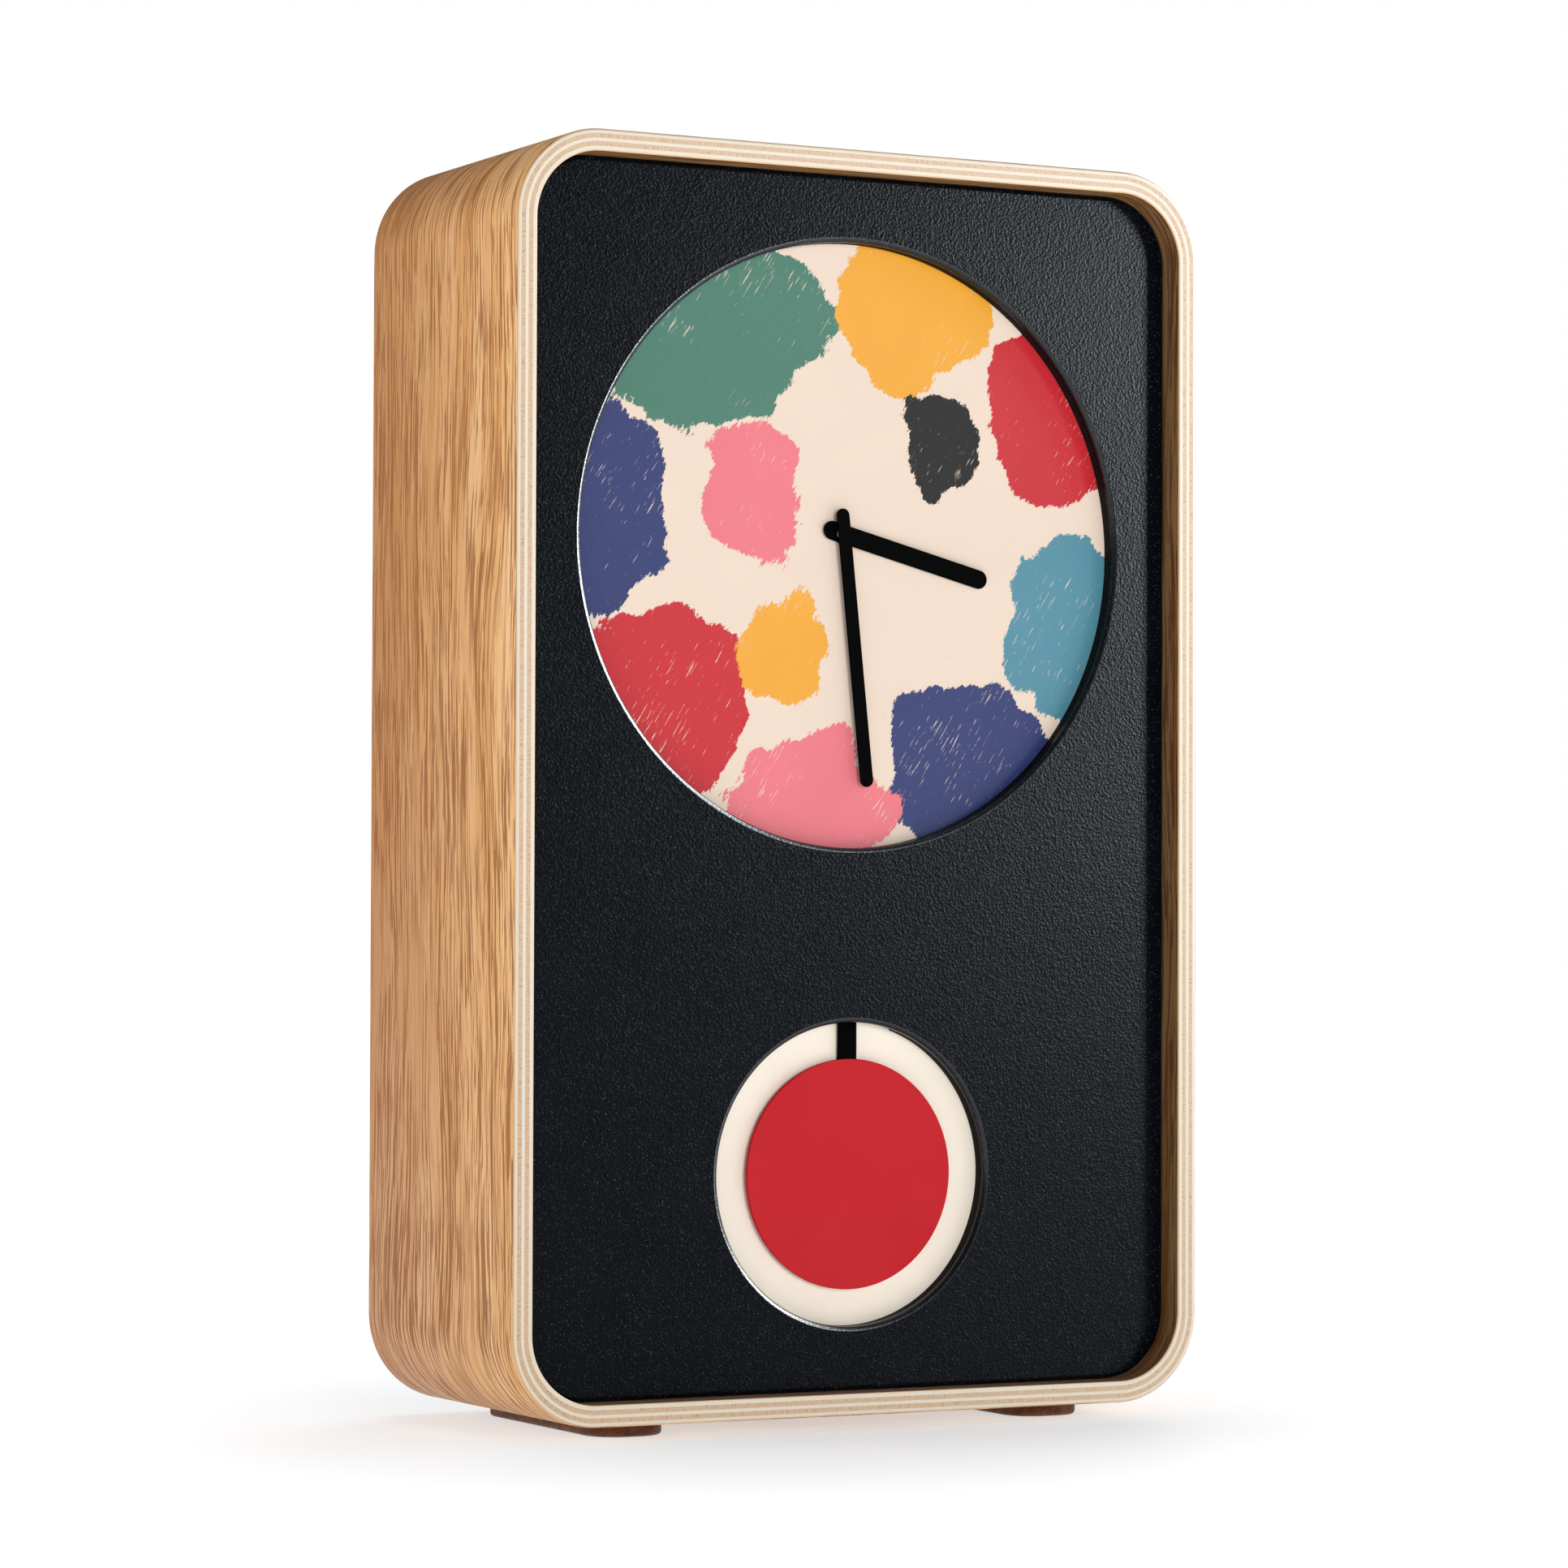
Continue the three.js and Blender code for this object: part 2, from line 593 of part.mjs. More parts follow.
// A wheel and its pinion, which turn together.
function trainArbor(wheel, wheelDepths, pinion, pinionDepths) {
  return geometryOf(joined(slab(wheel, ...wheelDepths), slab(pinion, ...pinionDepths)));
}

function placed(name, geometry, look, [x, z]) {
  part(movement, name, geometry, look, x, 0, z);
}

function buildMotionWork() {
  const cannonPhase = MINUTE_WHEEL_DIRECTION;
  const cannon = gearShape(CANNON_TEETH, MOTION_MODULE, cannonPhase, 0);
  const arbor = joined(
    pin(ARBOR_RADIUS, ...ARBOR_DEPTHS, [0, 0], SMALL_CIRCLE_STEPS),
    slab(cannon, ...CANNON_DEPTHS),
  );
  part(movement, "minute_arbor", geometryOf(arbor), BRASS);

  const wheelPhase = meshPhase(
    cannonPhase,
    CANNON_TEETH,
    MINUTE_WHEEL_TEETH,
    MINUTE_WHEEL_DIRECTION,
  );
  const pinionDirection = MINUTE_WHEEL_DIRECTION + Math.PI;
  const wheel = gearShape(MINUTE_WHEEL_TEETH, MOTION_MODULE, wheelPhase, POST_BORE);
  const pinion = gearShape(MINUTE_PINION_TEETH, MOTION_MODULE, pinionDirection, POST_BORE);
  const minuteWheel = trainArbor(wheel, MINUTE_WHEEL_DEPTHS, pinion, MINUTE_PINION_DEPTHS);
  placed("minute_wheel", minuteWheel, NYLON, minutePlace);

  const hourPhase = meshPhase(
    pinionDirection,
    MINUTE_PINION_TEETH,
    HOUR_WHEEL_TEETH,
    pinionDirection,
  );
  const pipe = disc(PIPE_RADIUS, SMALL_CIRCLE_STEPS);
  pipe.holes.push(circlePath(PIPE_BORE, SMALL_CIRCLE_STEPS));
  const hourWheel = joined(
    slab(gearShape(HOUR_WHEEL_TEETH, MOTION_MODULE, hourPhase, PIPE_BORE), ...HOUR_WHEEL_DEPTHS),
    slab(pipe, ...HOUR_PIPE_DEPTHS),
  );
  part(movement, "hour_wheel", geometryOf(hourWheel), NYLON);

  const settingPhase = meshPhase(
    wheelPhase,
    MINUTE_WHEEL_TEETH,
    SETTING_TEETH,
    SETTING_DIRECTION,
  );
  const [, pinionBack] = CANNON_DEPTHS;
  const knob = joined(
    slab(gearShape(SETTING_TEETH, MOTION_MODULE, settingPhase, 0), ...CANNON_DEPTHS),
    turned([
      [pinionBack, 0],
      [pinionBack, KNOB_SHAFT_RADIUS],
      [KNOB_FRONT, KNOB_SHAFT_RADIUS],
      [KNOB_FRONT, KNOB_RADIUS - 0.8],
      [KNOB_FRONT + 0.6, KNOB_RADIUS],
      [KNOB_BACK - 0.6, KNOB_RADIUS],
      [KNOB_BACK, KNOB_RADIUS - 0.6],
      [KNOB_BACK, 0],
    ], MEDIUM_CIRCLE_STEPS),
  );
  placed("setting_knob", geometryOf(knob), NYLON, settingPlace);
}

function buildTrain() {
  const rotorPhase = ROTOR_DIRECTION + Math.PI;
  const rotorPinion = gearShape(PINION_TEETH, TRAIN_MODULE, rotorPhase, PIN_BORE);
  placed("rotor_pinion", slab(rotorPinion, ...ROTOR_PINION_DEPTHS), ACETAL, rotorPlace);
  const magnet = disc(ROTOR_MAGNET_RADIUS, MEDIUM_CIRCLE_STEPS);
  magnet.holes.push(circlePath(PIN_BORE, SMALL_CIRCLE_STEPS));
  placed("rotor_magnet", slab(magnet, ...ROTOR_MAGNET_DEPTHS), MAGNET, rotorPlace);

  const fifthWheelPhase = meshPhase(
    rotorPhase,
    PINION_TEETH,
    FIFTH_WHEEL_TEETH,
    ROTOR_DIRECTION + Math.PI,
  );
  const fifthPinionPhase = FIFTH_DIRECTION + Math.PI;
  const fifth = trainArbor(
    gearShape(FIFTH_WHEEL_TEETH, TRAIN_MODULE, fifthWheelPhase, PIN_BORE),
    FIFTH_WHEEL_DEPTHS,
    gearShape(FIFTH_PINION_TEETH, TRAIN_MODULE, fifthPinionPhase, PIN_BORE),
    FIFTH_PINION_DEPTHS,
  );
  placed("fifth_wheel", fifth, NYLON, fifthPlace);

  const secondsWheelPhase = meshPhase(
    fifthPinionPhase,
    FIFTH_PINION_TEETH,
    SECONDS_WHEEL_TEETH,
    FIFTH_DIRECTION + Math.PI,
  );
  const seconds = trainArbor(
    gearShape(SECONDS_WHEEL_TEETH, TRAIN_MODULE, secondsWheelPhase, PIN_BORE),
    SECONDS_WHEEL_DEPTHS,
    gearShape(PINION_TEETH, TRAIN_MODULE, THIRD_DIRECTION, PIN_BORE),
    SECONDS_PINION_DEPTHS,
  );
  part(movement, "seconds_wheel", seconds, ACETAL);

  const thirdWheelPhase = meshPhase(
    THIRD_DIRECTION,
    PINION_TEETH,
    THIRD_WHEEL_TEETH,
    THIRD_DIRECTION,
  );
  const thirdPinionPhase = THIRD_DIRECTION + Math.PI;
  const third = trainArbor(
    gearShape(THIRD_WHEEL_TEETH, TRAIN_MODULE, thirdWheelPhase, PIN_BORE),
    THIRD_WHEEL_DEPTHS,
    gearShape(PINION_TEETH, CENTRE_MODULE, thirdPinionPhase, PIN_BORE),
    THIRD_PINION_DEPTHS,
  );
  placed("third_wheel", third, NYLON, thirdPlace);

  const centrePhase = meshPhase(
    thirdPinionPhase,
    PINION_TEETH,
    CENTRE_WHEEL_TEETH,
    THIRD_DIRECTION + Math.PI,
  );
  const centreBore = ARBOR_RADIUS + CLUTCH_GAP;
  const centre = gearShape(CENTRE_WHEEL_TEETH, CENTRE_MODULE, centrePhase, centreBore);
  part(movement, "centre_wheel", slab(centre, ...CENTRE_WHEEL_DEPTHS), ACETAL);
}

// ---- Movement housing and its fixed insides -----------------------------------------

const pivotPlace = [-HAND_AXIS_X, PENDULUM_PIVOT_Z - HAND_AXIS_Z];

function housingOutline(inset) {
  const width = 2 * (HOUSING_HALF_WIDTH - inset);
  const height = HOUSING_TOP - HOUSING_BOTTOM - 2 * inset;
  const middle = (HOUSING_TOP + HOUSING_BOTTOM) / 2;
  return roundedRectangle(width, height, HOUSING_CORNER_RADIUS - inset, 0, middle);
}

// The housing: an open box with a recess in front for the hanger, pillars and a post.
function housingShell() {
  const wall = HOUSING_WALL;
  const recessSolid = block(
    -RECESS_HALF_WIDTH - wall,
    RECESS_HALF_WIDTH + wall,
    HOUSING_FRONT,
    RECESS_BACK + wall,
    HOUSING_BOTTOM,
    RECESS_TOP + wall,
  );
  const recessVoid = block(
    -RECESS_HALF_WIDTH,
    RECESS_HALF_WIDTH,
    HOUSING_FRONT - CUT_PAST,
    RECESS_BACK,
    HOUSING_BOTTOM - CUT_PAST,
    RECESS_TOP,
  );
  const hollow = slab(housingOutline(wall), HOUSING_INSIDE, HOUSING_BACK + CUT_PAST);
  const pipeFront = HOUSING_FRONT - CUT_PAST;
  const pipeHole = pin(PIPE_RADIUS + PIPE_CLEARANCE, pipeFront, HOUSING_INSIDE + CUT_PAST, [0, 0]);
  const pivotBack = RECESS_BACK + wall + CUT_PAST;
  const pivotHole = pin(PIVOT_HOLE_RADIUS, RECESS_BACK - CUT_PAST, pivotBack, pivotPlace);
  let shell = solid(slab(housingOutline(0), HOUSING_FRONT, HOUSING_BACK))
    .subtract(solid(hollow))
    .add(solid(recessSolid))
    .subtract(solid(recessVoid))
    .subtract(solid(pipeHole))
    .subtract(solid(pivotHole));
  const rooted = HOUSING_INSIDE - wall / 3; // pillars start inside the front wall
  for (const place of PILLARS) {
    shell = shell.add(solid(pin(PILLAR_RADIUS, rooted, BRIDGE_FRONT - GLUE_LINE, place)));
  }
  return shell.add(solid(pin(POST_RADIUS, rooted, POST_BACK, minutePlace)));
}

// The bridge carries the train's pins, each long enough to hold its own wheel.
function trainBridge() {
  const pinBack = (BRIDGE_FRONT + BRIDGE_BACK) / 2;
  return joined(
    slab(outlineOf(BRIDGE_OUTLINE), BRIDGE_FRONT, BRIDGE_BACK),
    pin(PIN_RADIUS, SECONDS_PINION_DEPTHS[0] - 0.2, pinBack, [0, 0]),
    pin(PIN_RADIUS, THIRD_PINION_DEPTHS[0] - 0.2, pinBack, thirdPlace),
    pin(PIN_RADIUS, FIFTH_PINION_DEPTHS[0] - 0.2, pinBack, fifthPlace),
    pin(PIN_RADIUS, ROTOR_PINION_DEPTHS[0] - 0.2, pinBack, rotorPlace),
  );
}

// The rear cover has the battery bay's walls and a hole for the setting knob's shaft.
function rearCover() {
  const bay = (inset, corner) =>
    roundedRectangle(
      2 * (BAY_HALF_LENGTH - inset),
      2 * (BAY_HALF_HEIGHT - inset),
      corner,
      0,
      BATTERY_HEIGHT,
    );
  const bayFront = HOUSING_INSIDE + 0.2;
  const walls = slab(bay(0, 1), bayFront, (COVER_FRONT + COVER_BACK) / 2);
  const inside = slab(bay(BAY_WALL, 0.5), bayFront - CUT_PAST, COVER_BACK + CUT_PAST);
  const shaftFront = COVER_FRONT - CUT_PAST;
  const shaftHole = pin(KNOB_SHAFT_HOLE_RADIUS, shaftFront, COVER_BACK + CUT_PAST, settingPlace);
  return solid(slab(housingOutline(0), COVER_FRONT, COVER_BACK))
    .add(solid(walls))
    .subtract(solid(inside))
    .subtract(solid(shaftHole));
}

function buildHousing() {
  part(movement, "movement_housing", geometryOf(housingShell()), HOUSING_PLASTIC);
  part(movement, "train_bridge", geometryOf(trainBridge()), ACETAL);
  part(movement, "movement_rear_cover", geometryOf(rearCover()), COVER_PLASTIC);

  const pad = roundedRectangle(PAD_WIDTH, PAD_HEIGHT, PAD_CORNER_RADIUS);
  pad.holes.push(circlePath(PAD_HOLE_RADIUS, SMALL_CIRCLE_STEPS));
  part(movement, "movement_foam_pad", slab(pad, PAD_FRONT, PAD_BACK), FOAM);
}

function buildMotor() {
  const stator = outlineOf(STATOR_OUTLINE);
  stator.holes.push(circlePath(STATOR_HOLE_RADIUS, MEDIUM_CIRCLE_STEPS, ...rotorPlace));
  part(movement, "motor_stator", slab(stator, ...STATOR_DEPTHS), STEEL);

  const core = block(CORE.left, CORE.right, CORE.front, CORE.back, CORE.bottom, CORE.top);
  part(movement, "motor_core", core, STEEL);
  const spool = [
    [0, COIL.bore],
    [0, COIL.flangeRadius],
    [COIL.flange, COIL.flangeRadius],
    [COIL.flange, COIL.radius],
    [COIL.length - COIL.flange, COIL.radius],
    [COIL.length - COIL.flange, COIL.flangeRadius],
    [COIL.length, COIL.flangeRadius],
    [COIL.length, COIL.bore],
    [0, COIL.bore],
  ];
  const coil = turned(spool, MEDIUM_CIRCLE_STEPS).rotateZ(-Math.PI / 2);
  const coreDepth = (CORE.front + CORE.back) / 2;
  const coreHeight = (CORE.bottom + CORE.top) / 2;
  part(movement, "motor_coil", coil, COPPER, COIL.left, coreDepth, coreHeight);
}

function buildElectronics() {
  const board = roundedRectangle(BOARD.width, BOARD.height, BOARD.corner, BOARD.x, BOARD.z);
  part(movement, "circuit_board", slab(board, BOARD.front, BOARD.back), BOARD_GREEN);
  const blob = turned([
    [-1.1, 0],
    [-1, 1.6],
    [-0.5, 2.6],
    [-GLUE_LINE, 2.8],
    [-GLUE_LINE, 0],
  ]);
  part(movement, "timing_chip", blob, EPOXY, BOARD.x, BOARD.front, CHIP_HEIGHT);
  const crystal = new THREE.CylinderGeometry(
    CRYSTAL.radius,
    CRYSTAL.radius,
    CRYSTAL.length,
    PIN_STEPS,
  ).rotateX(Math.PI / 2);
  const crystalDepth = BOARD.front - CRYSTAL.radius - CRYSTAL.gap;
  part(movement, "quartz_crystal", crystal, STEEL, BOARD.x, crystalDepth, CRYSTAL.z);
}

function buildBattery() {
  const half = BATTERY_LENGTH / 2;
  const plusEnd = half - BATTERY_BUTTON_LENGTH;
  const cell = turned([
    [-half, 0],
    [-half, BATTERY_END_RADIUS],
    [-half + BATTERY_SHOULDER, BATTERY_RADIUS],
    [plusEnd - BATTERY_SHOULDER, BATTERY_RADIUS],
    [plusEnd, BATTERY_END_RADIUS],
    [plusEnd, BATTERY_BUTTON_RADIUS],
    [half, BATTERY_BUTTON_RADIUS],
    [half, 0],
  ], MEDIUM_CIRCLE_STEPS).rotateZ(-Math.PI / 2);
  part(movement, "battery_cell", cell, CELL_JACKET, 0, BATTERY_DEPTH, BATTERY_HEIGHT);

  const inside = BAY_HALF_LENGTH - BAY_WALL - 2 * GLUE_LINE;
  const contact = (x) =>
    block(
      x,
      x + CONTACT_THICKNESS,
      BATTERY_DEPTH - CONTACT_HALF_SIZE,
      BATTERY_DEPTH + CONTACT_HALF_SIZE,
      BATTERY_HEIGHT - CONTACT_HALF_SIZE,
      BATTERY_HEIGHT + CONTACT_HALF_SIZE,
    );
  part(movement, "battery_contact_plus", contact(inside - CONTACT_THICKNESS), STEEL);
  const { tipRadius, baseRadius, length } = CONTACT_SPRING;
  const springX = -inside + CONTACT_THICKNESS - 0.1 + length / 2;
  const spring = new THREE.CylinderGeometry(tipRadius, baseRadius, length, MEDIUM_CIRCLE_STEPS)
    .rotateZ(-Math.PI / 2)
    .translate(springX, BATTERY_DEPTH, BATTERY_HEIGHT);
  const minus = joined(contact(-inside), spring);
  part(movement, "battery_contact_minus", geometryOf(minus), STEEL);
}

// ---- Pendulum -----------------------------------------------------------------------

// The rod's middle, where it is glued behind the bob and in front of the hanger.
const rodFrontDepth = BOB_BACK + GLUE_LINE + ROD_THICKNESS / 2;
const rodBackDepth = HANGER_FRONT - GLUE_LINE - ROD_THICKNESS / 2;

// Everything on the pendulum is placed from its pivot.
const pendulum = new THREE.Group();
pendulum.position.set(0, 0, PENDULUM_PIVOT_Z);
face.add(pendulum);

// A strip bent in the depth direction: an outline of depth and height, as wide as the rod.
function rodGeometry() {
  const route = [
    [rodBackDepth, ROD_TOP],
    [rodBackDepth, ROD_BEND_TOP],
    [rodFrontDepth, ROD_BEND_BOTTOM],
    [rodFrontDepth, WINDOW_Z - PENDULUM_PIVOT_Z - ROD_PAST_BOB_CENTRE],
  ];
  const half = ROD_THICKNESS / 2;
  const front = route.map(([depth, z]) => new THREE.Vector2(depth - half, z));
  const back = route.map(([depth, z]) => new THREE.Vector2(depth + half, z)).reverse();
  const outline = new THREE.Shape([...front, ...back]);
  return new THREE.ExtrudeGeometry(outline, { depth: ROD_WIDTH, bevelEnabled: false })
    .rotateX(Math.PI / 2)
    .rotateZ(Math.PI / 2)
    .translate(-ROD_WIDTH / 2, 0, 0);
}

function hangerOutline() {
  const outline = new THREE.Shape();
  outline.moveTo(-HANGER_END_HALF_WIDTH, -HANGER_LENGTH);
  outline.lineTo(HANGER_END_HALF_WIDTH, -HANGER_LENGTH);
  outline.lineTo(HANGER_RADIUS, 0);
  outline.absarc(0, 0, HANGER_RADIUS, 0, Math.PI, false);
  outline.lineTo(-HANGER_END_HALF_WIDTH, -HANGER_LENGTH);
  outline.holes.push(circlePath(HANGER_BORE, SMALL_CIRCLE_STEPS));
  return outline;
}

function buildPendulum() {
  const recessWallBack = RECESS_BACK + HOUSING_WALL;
  const pivotPin = turned([
    [PIVOT_HEAD_FRONT, 0],
    [PIVOT_HEAD_FRONT, PIVOT_HEAD_RADIUS - 0.3],
    [PIVOT_HEAD_FRONT + 0.5, PIVOT_HEAD_RADIUS],
    [PIVOT_HEAD_BACK, PIVOT_HEAD_RADIUS],
    [PIVOT_HEAD_BACK, PIVOT_RADIUS],
    [recessWallBack, PIVOT_RADIUS],
    [recessWallBack, 0],
  ]);
  part(pendulum, "pendulum_pivot_pin", pivotPin, STEEL);
  const hanger = slab(hangerOutline(), HANGER_FRONT, HANGER_BACK);
  part(pendulum, "pendulum_hanger", hanger, ACETAL);

  const magnetFront = HANGER_BACK + GLUE_LINE;
  const magnetShape = disc(DRIVE_MAGNET.radius, MEDIUM_CIRCLE_STEPS);
  const magnet = slab(magnetShape, magnetFront, magnetFront + DRIVE_MAGNET.thickness);
  part(pendulum, "pendulum_magnet", magnet, MAGNET, 0, 0, DRIVE_HEIGHT);
  part(pendulum, "pendulum_rod", rodGeometry(), HAND_BLACK);
  const bob = slab(disc(BOB_RADIUS, LARGE_CIRCLE_STEPS), BOB_FRONT, BOB_BACK);
  part(pendulum, "pendulum_bob", bob, BOB_RED, 0, 0, WINDOW_Z - PENDULUM_PIVOT_Z);

  const coilShape = disc(DRIVE_COIL.radius, MEDIUM_CIRCLE_STEPS);
  coilShape.holes.push(circlePath(DRIVE_COIL.bore, SMALL_CIRCLE_STEPS));
  const coilFront = recessWallBack + DRIVE_COIL.gap;
  const coil = slab(coilShape, coilFront, coilFront + DRIVE_COIL.length);
  part(pendulum, "pendulum_coil", coil, COPPER, 0, 0, DRIVE_HEIGHT);
}

buildCase();
buildPanel();
buildCleats();
buildHands();
buildMotionWork();
buildTrain();
buildHousing();
buildMotor();
buildElectronics();
buildBattery();
buildPendulum();

export default clock;
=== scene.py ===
import json
import math

import bmesh
import bpy
from mathutils import Matrix, Vector, geometry


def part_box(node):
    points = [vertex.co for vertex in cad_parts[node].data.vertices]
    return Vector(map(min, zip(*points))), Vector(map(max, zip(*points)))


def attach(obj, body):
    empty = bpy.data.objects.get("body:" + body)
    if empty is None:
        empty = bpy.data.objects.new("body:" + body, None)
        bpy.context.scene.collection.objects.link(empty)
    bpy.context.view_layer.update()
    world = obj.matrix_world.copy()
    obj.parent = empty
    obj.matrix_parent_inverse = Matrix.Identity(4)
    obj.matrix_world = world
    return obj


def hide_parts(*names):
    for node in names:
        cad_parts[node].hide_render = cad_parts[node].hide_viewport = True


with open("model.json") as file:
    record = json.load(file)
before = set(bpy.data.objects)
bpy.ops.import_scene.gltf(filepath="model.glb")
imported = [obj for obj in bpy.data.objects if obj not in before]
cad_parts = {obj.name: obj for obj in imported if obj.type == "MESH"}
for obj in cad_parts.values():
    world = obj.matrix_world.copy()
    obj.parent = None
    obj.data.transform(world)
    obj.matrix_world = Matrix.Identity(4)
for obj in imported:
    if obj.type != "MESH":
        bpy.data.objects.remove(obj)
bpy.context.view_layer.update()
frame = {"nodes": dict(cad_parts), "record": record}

MM = 0.001
NODES = frame["nodes"]
scene = bpy.context.scene

# ---- Places and sizes, from the frame ------------------------------------------------

case_lo, case_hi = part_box("plywood_case")
panel_lo, panel_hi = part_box("front_panel")
dial_lo, dial_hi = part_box("dial_plate")
card_lo, card_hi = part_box("pendulum_backdrop")
bob_lo, bob_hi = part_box("pendulum_bob")
rod_lo, rod_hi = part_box("pendulum_rod")

CASE_WIDTH = case_hi.x - case_lo.x
CASE_HEIGHT = case_hi.z - case_lo.z
CASE_CENTRE_Z = (case_hi.z + case_lo.z) / 2
CASE_WALL = 5.2 * MM
CASE_RADIUS = 21.6 * MM
VENEER = 0.35 * MM
PANEL_PLAY = 0.15 * MM  # between the panel's corners and the case's

DIAL_CENTRE = Vector((0, (dial_hi.z + dial_lo.z) / 2))
DIAL_RADIUS = 72.35 * MM
WINDOW_CENTRE = Vector((0, (bob_hi.z + bob_lo.z) / 2))
WINDOW_RADIUS = 36.1 * MM
CHANNEL_HALF_WIDTH = 12 * MM  # of the slot in which the pendulum's strip hangs
CHANNEL_TOP = 121 * MM
HAND_WIDTHS = {"minute": 3.4 * MM, "hour": 4.5 * MM}
HAND_REACHES = {"minute": 60.8 * MM, "hour": 41 * MM}
HAND_TAILS = {"minute": 6 * MM, "hour": 5.2 * MM}
HAND_ANGLES = {"minute": 174, "hour": 104.5}  # degrees clockwise from twelve
HAND_THICKNESS = 0.5 * MM
FOOT_CORNER, FOOT_EASE = 8 * MM, 0.9 * MM
DIAL_CORNER, CARD_CORNER = 10 * MM, 4 * MM
ARBOR_HOLE = 2.2 * MM
SCREW_COUNT = 6
SCREW_HOLE = 1.6 * MM
SCREW_SHANK = 1.3 * MM


def joint_place(name):
    joint = next(j for j in frame["record"]["behaviour"]["joints"] if j["name"] == name)
    return Vector(joint["pos_m"])


HAND_AXIS = joint_place("minute_hand_turn")
SETTING_AXIS = joint_place("setting_knob_turn")

# ---- Camera, light and floor ---------------------------------------------------------

CAMERA_PLACE = (-0.5826, -1.0976, 0.1212)
CAMERA_PITCH, CAMERA_ROLL, CAMERA_YAW = 91.49, 0.187, -27.94
CAMERA_LENS = 116.8
FLOOR_HALF = 6.0
CONTACT_SHADE = (0.02, 0.32)  # from the middle, where the floor's shading starts and ends


def make_camera():
    data = bpy.data.cameras.new("camera")
    data.sensor_width = 36
    data.lens = CAMERA_LENS
    camera = bpy.data.objects.new("camera", data)
    scene.collection.objects.link(camera)
    camera.location = CAMERA_PLACE
    turn = Matrix.Rotation(math.radians(CAMERA_YAW), 4, "Z")
    tilt = Matrix.Rotation(math.radians(CAMERA_PITCH), 4, "X")
    bank = Matrix.Rotation(math.radians(CAMERA_ROLL), 4, "Z")
    camera.rotation_euler = (turn @ tilt @ bank).to_euler()
    scene.camera = camera


def area_light(name, place, aim, width, height, watts, colour=(1, 1, 1), matt=True, gloss=True):
    """A soft box. It can be kept off matt or off glossy reflection."""
    data = bpy.data.lights.new(name, "AREA")
    data.shape = "RECTANGLE"
    data.size = width
    data.size_y = height
    data.energy = watts
    data.color = colour
    lamp = bpy.data.objects.new(name, data)
    lamp.location = place
    direction = Vector(aim) - Vector(place)
    lamp.rotation_euler = direction.to_track_quat("-Z", "Y").to_euler()
    lamp.visible_diffuse = matt
    lamp.visible_glossy = gloss
    scene.collection.objects.link(lamp)


def make_studio():
    """Six lamps, a dim surrounding light, and a backdrop that the camera sees as white."""
    world = bpy.data.worlds.new("studio")
    scene.world = world
    world.use_nodes = True
    tree = world.node_tree
    background = tree.nodes["Background"]
    background.inputs["Color"].default_value = (1, 1, 1, 1)
    background.inputs["Strength"].default_value = 0.1
    backdrop = tree.nodes.new("ShaderNodeBackground")
    backdrop.inputs["Strength"].default_value = 1.0
    chooser = tree.nodes.new("ShaderNodeMixShader")
    path = tree.nodes.new("ShaderNodeLightPath")
    tree.links.new(path.outputs["Is Camera Ray"], chooser.inputs[0])
    tree.links.new(background.outputs[0], chooser.inputs[1])
    tree.links.new(backdrop.outputs[0], chooser.inputs[2])
    tree.links.new(chooser.outputs[0], tree.nodes["World Output"].inputs[0])
    backdrop.inputs["Color"].default_value = (1, 1, 1, 1)

    middle = (0, 0, 0.15)
    area_light("front_fill", (-0.15, -1.8, 0.3), middle, 0.7, 0.7, 15, gloss=False)
    area_light("sheen", (1.18, -1.22, 0.42), middle, 0.36, 0.44, 46, (0.86, 0.95, 1), matt=False)
    area_light("side_left", (-1.6, 0.6, 0.3), middle, 0.8, 0.8, 17.5, gloss=False)
    area_light("top_soft", (0.1, 0.3, 1.5), middle, 1.2, 1.2, 6)
    area_light("back_soft", (1.3, 1.2, 0.7), middle, 1.2, 1.0, 11)
    area_light("rim_glint", (1.3, -0.35, 0.75), middle, 0.8, 0.8, 70, matt=False)
    scene.view_settings.view_transform = "Standard"


def make_floor():
    corners = [(-1, -1), (1, -1), (1, 1), (-1, 1)]
    mesh = bpy.data.meshes.new("floor")
    mesh.from_pydata([(x * FLOOR_HALF, y * FLOOR_HALF, 0) for x, y in corners], [], [(0, 1, 2, 3)])
    floor = bpy.data.objects.new("floor", mesh)
    scene.collection.objects.link(floor)
    look = Look("pale_floor", roughness=0.7, specular=0.1)
    x, y, _ = look.split(look.place())
    away = look.math("SQRT", look.math("MULTIPLY_ADD", x, x, look.times(y, y)))
    look.set("Base Color", (0.5, 0.52, 0.54))
    look.set("Emission Color", (1, 1, 1))
    # The floor glows, more dimly near the middle: painted contact shade round the case, over the
    # lamps' real shadow.
    look.set("Emission Strength", look.range(away, *CONTACT_SHADE, 0.48, 1.0))
    mesh.materials.append(look.material)


# ---- Node material helpers -----------------------------------------------------------


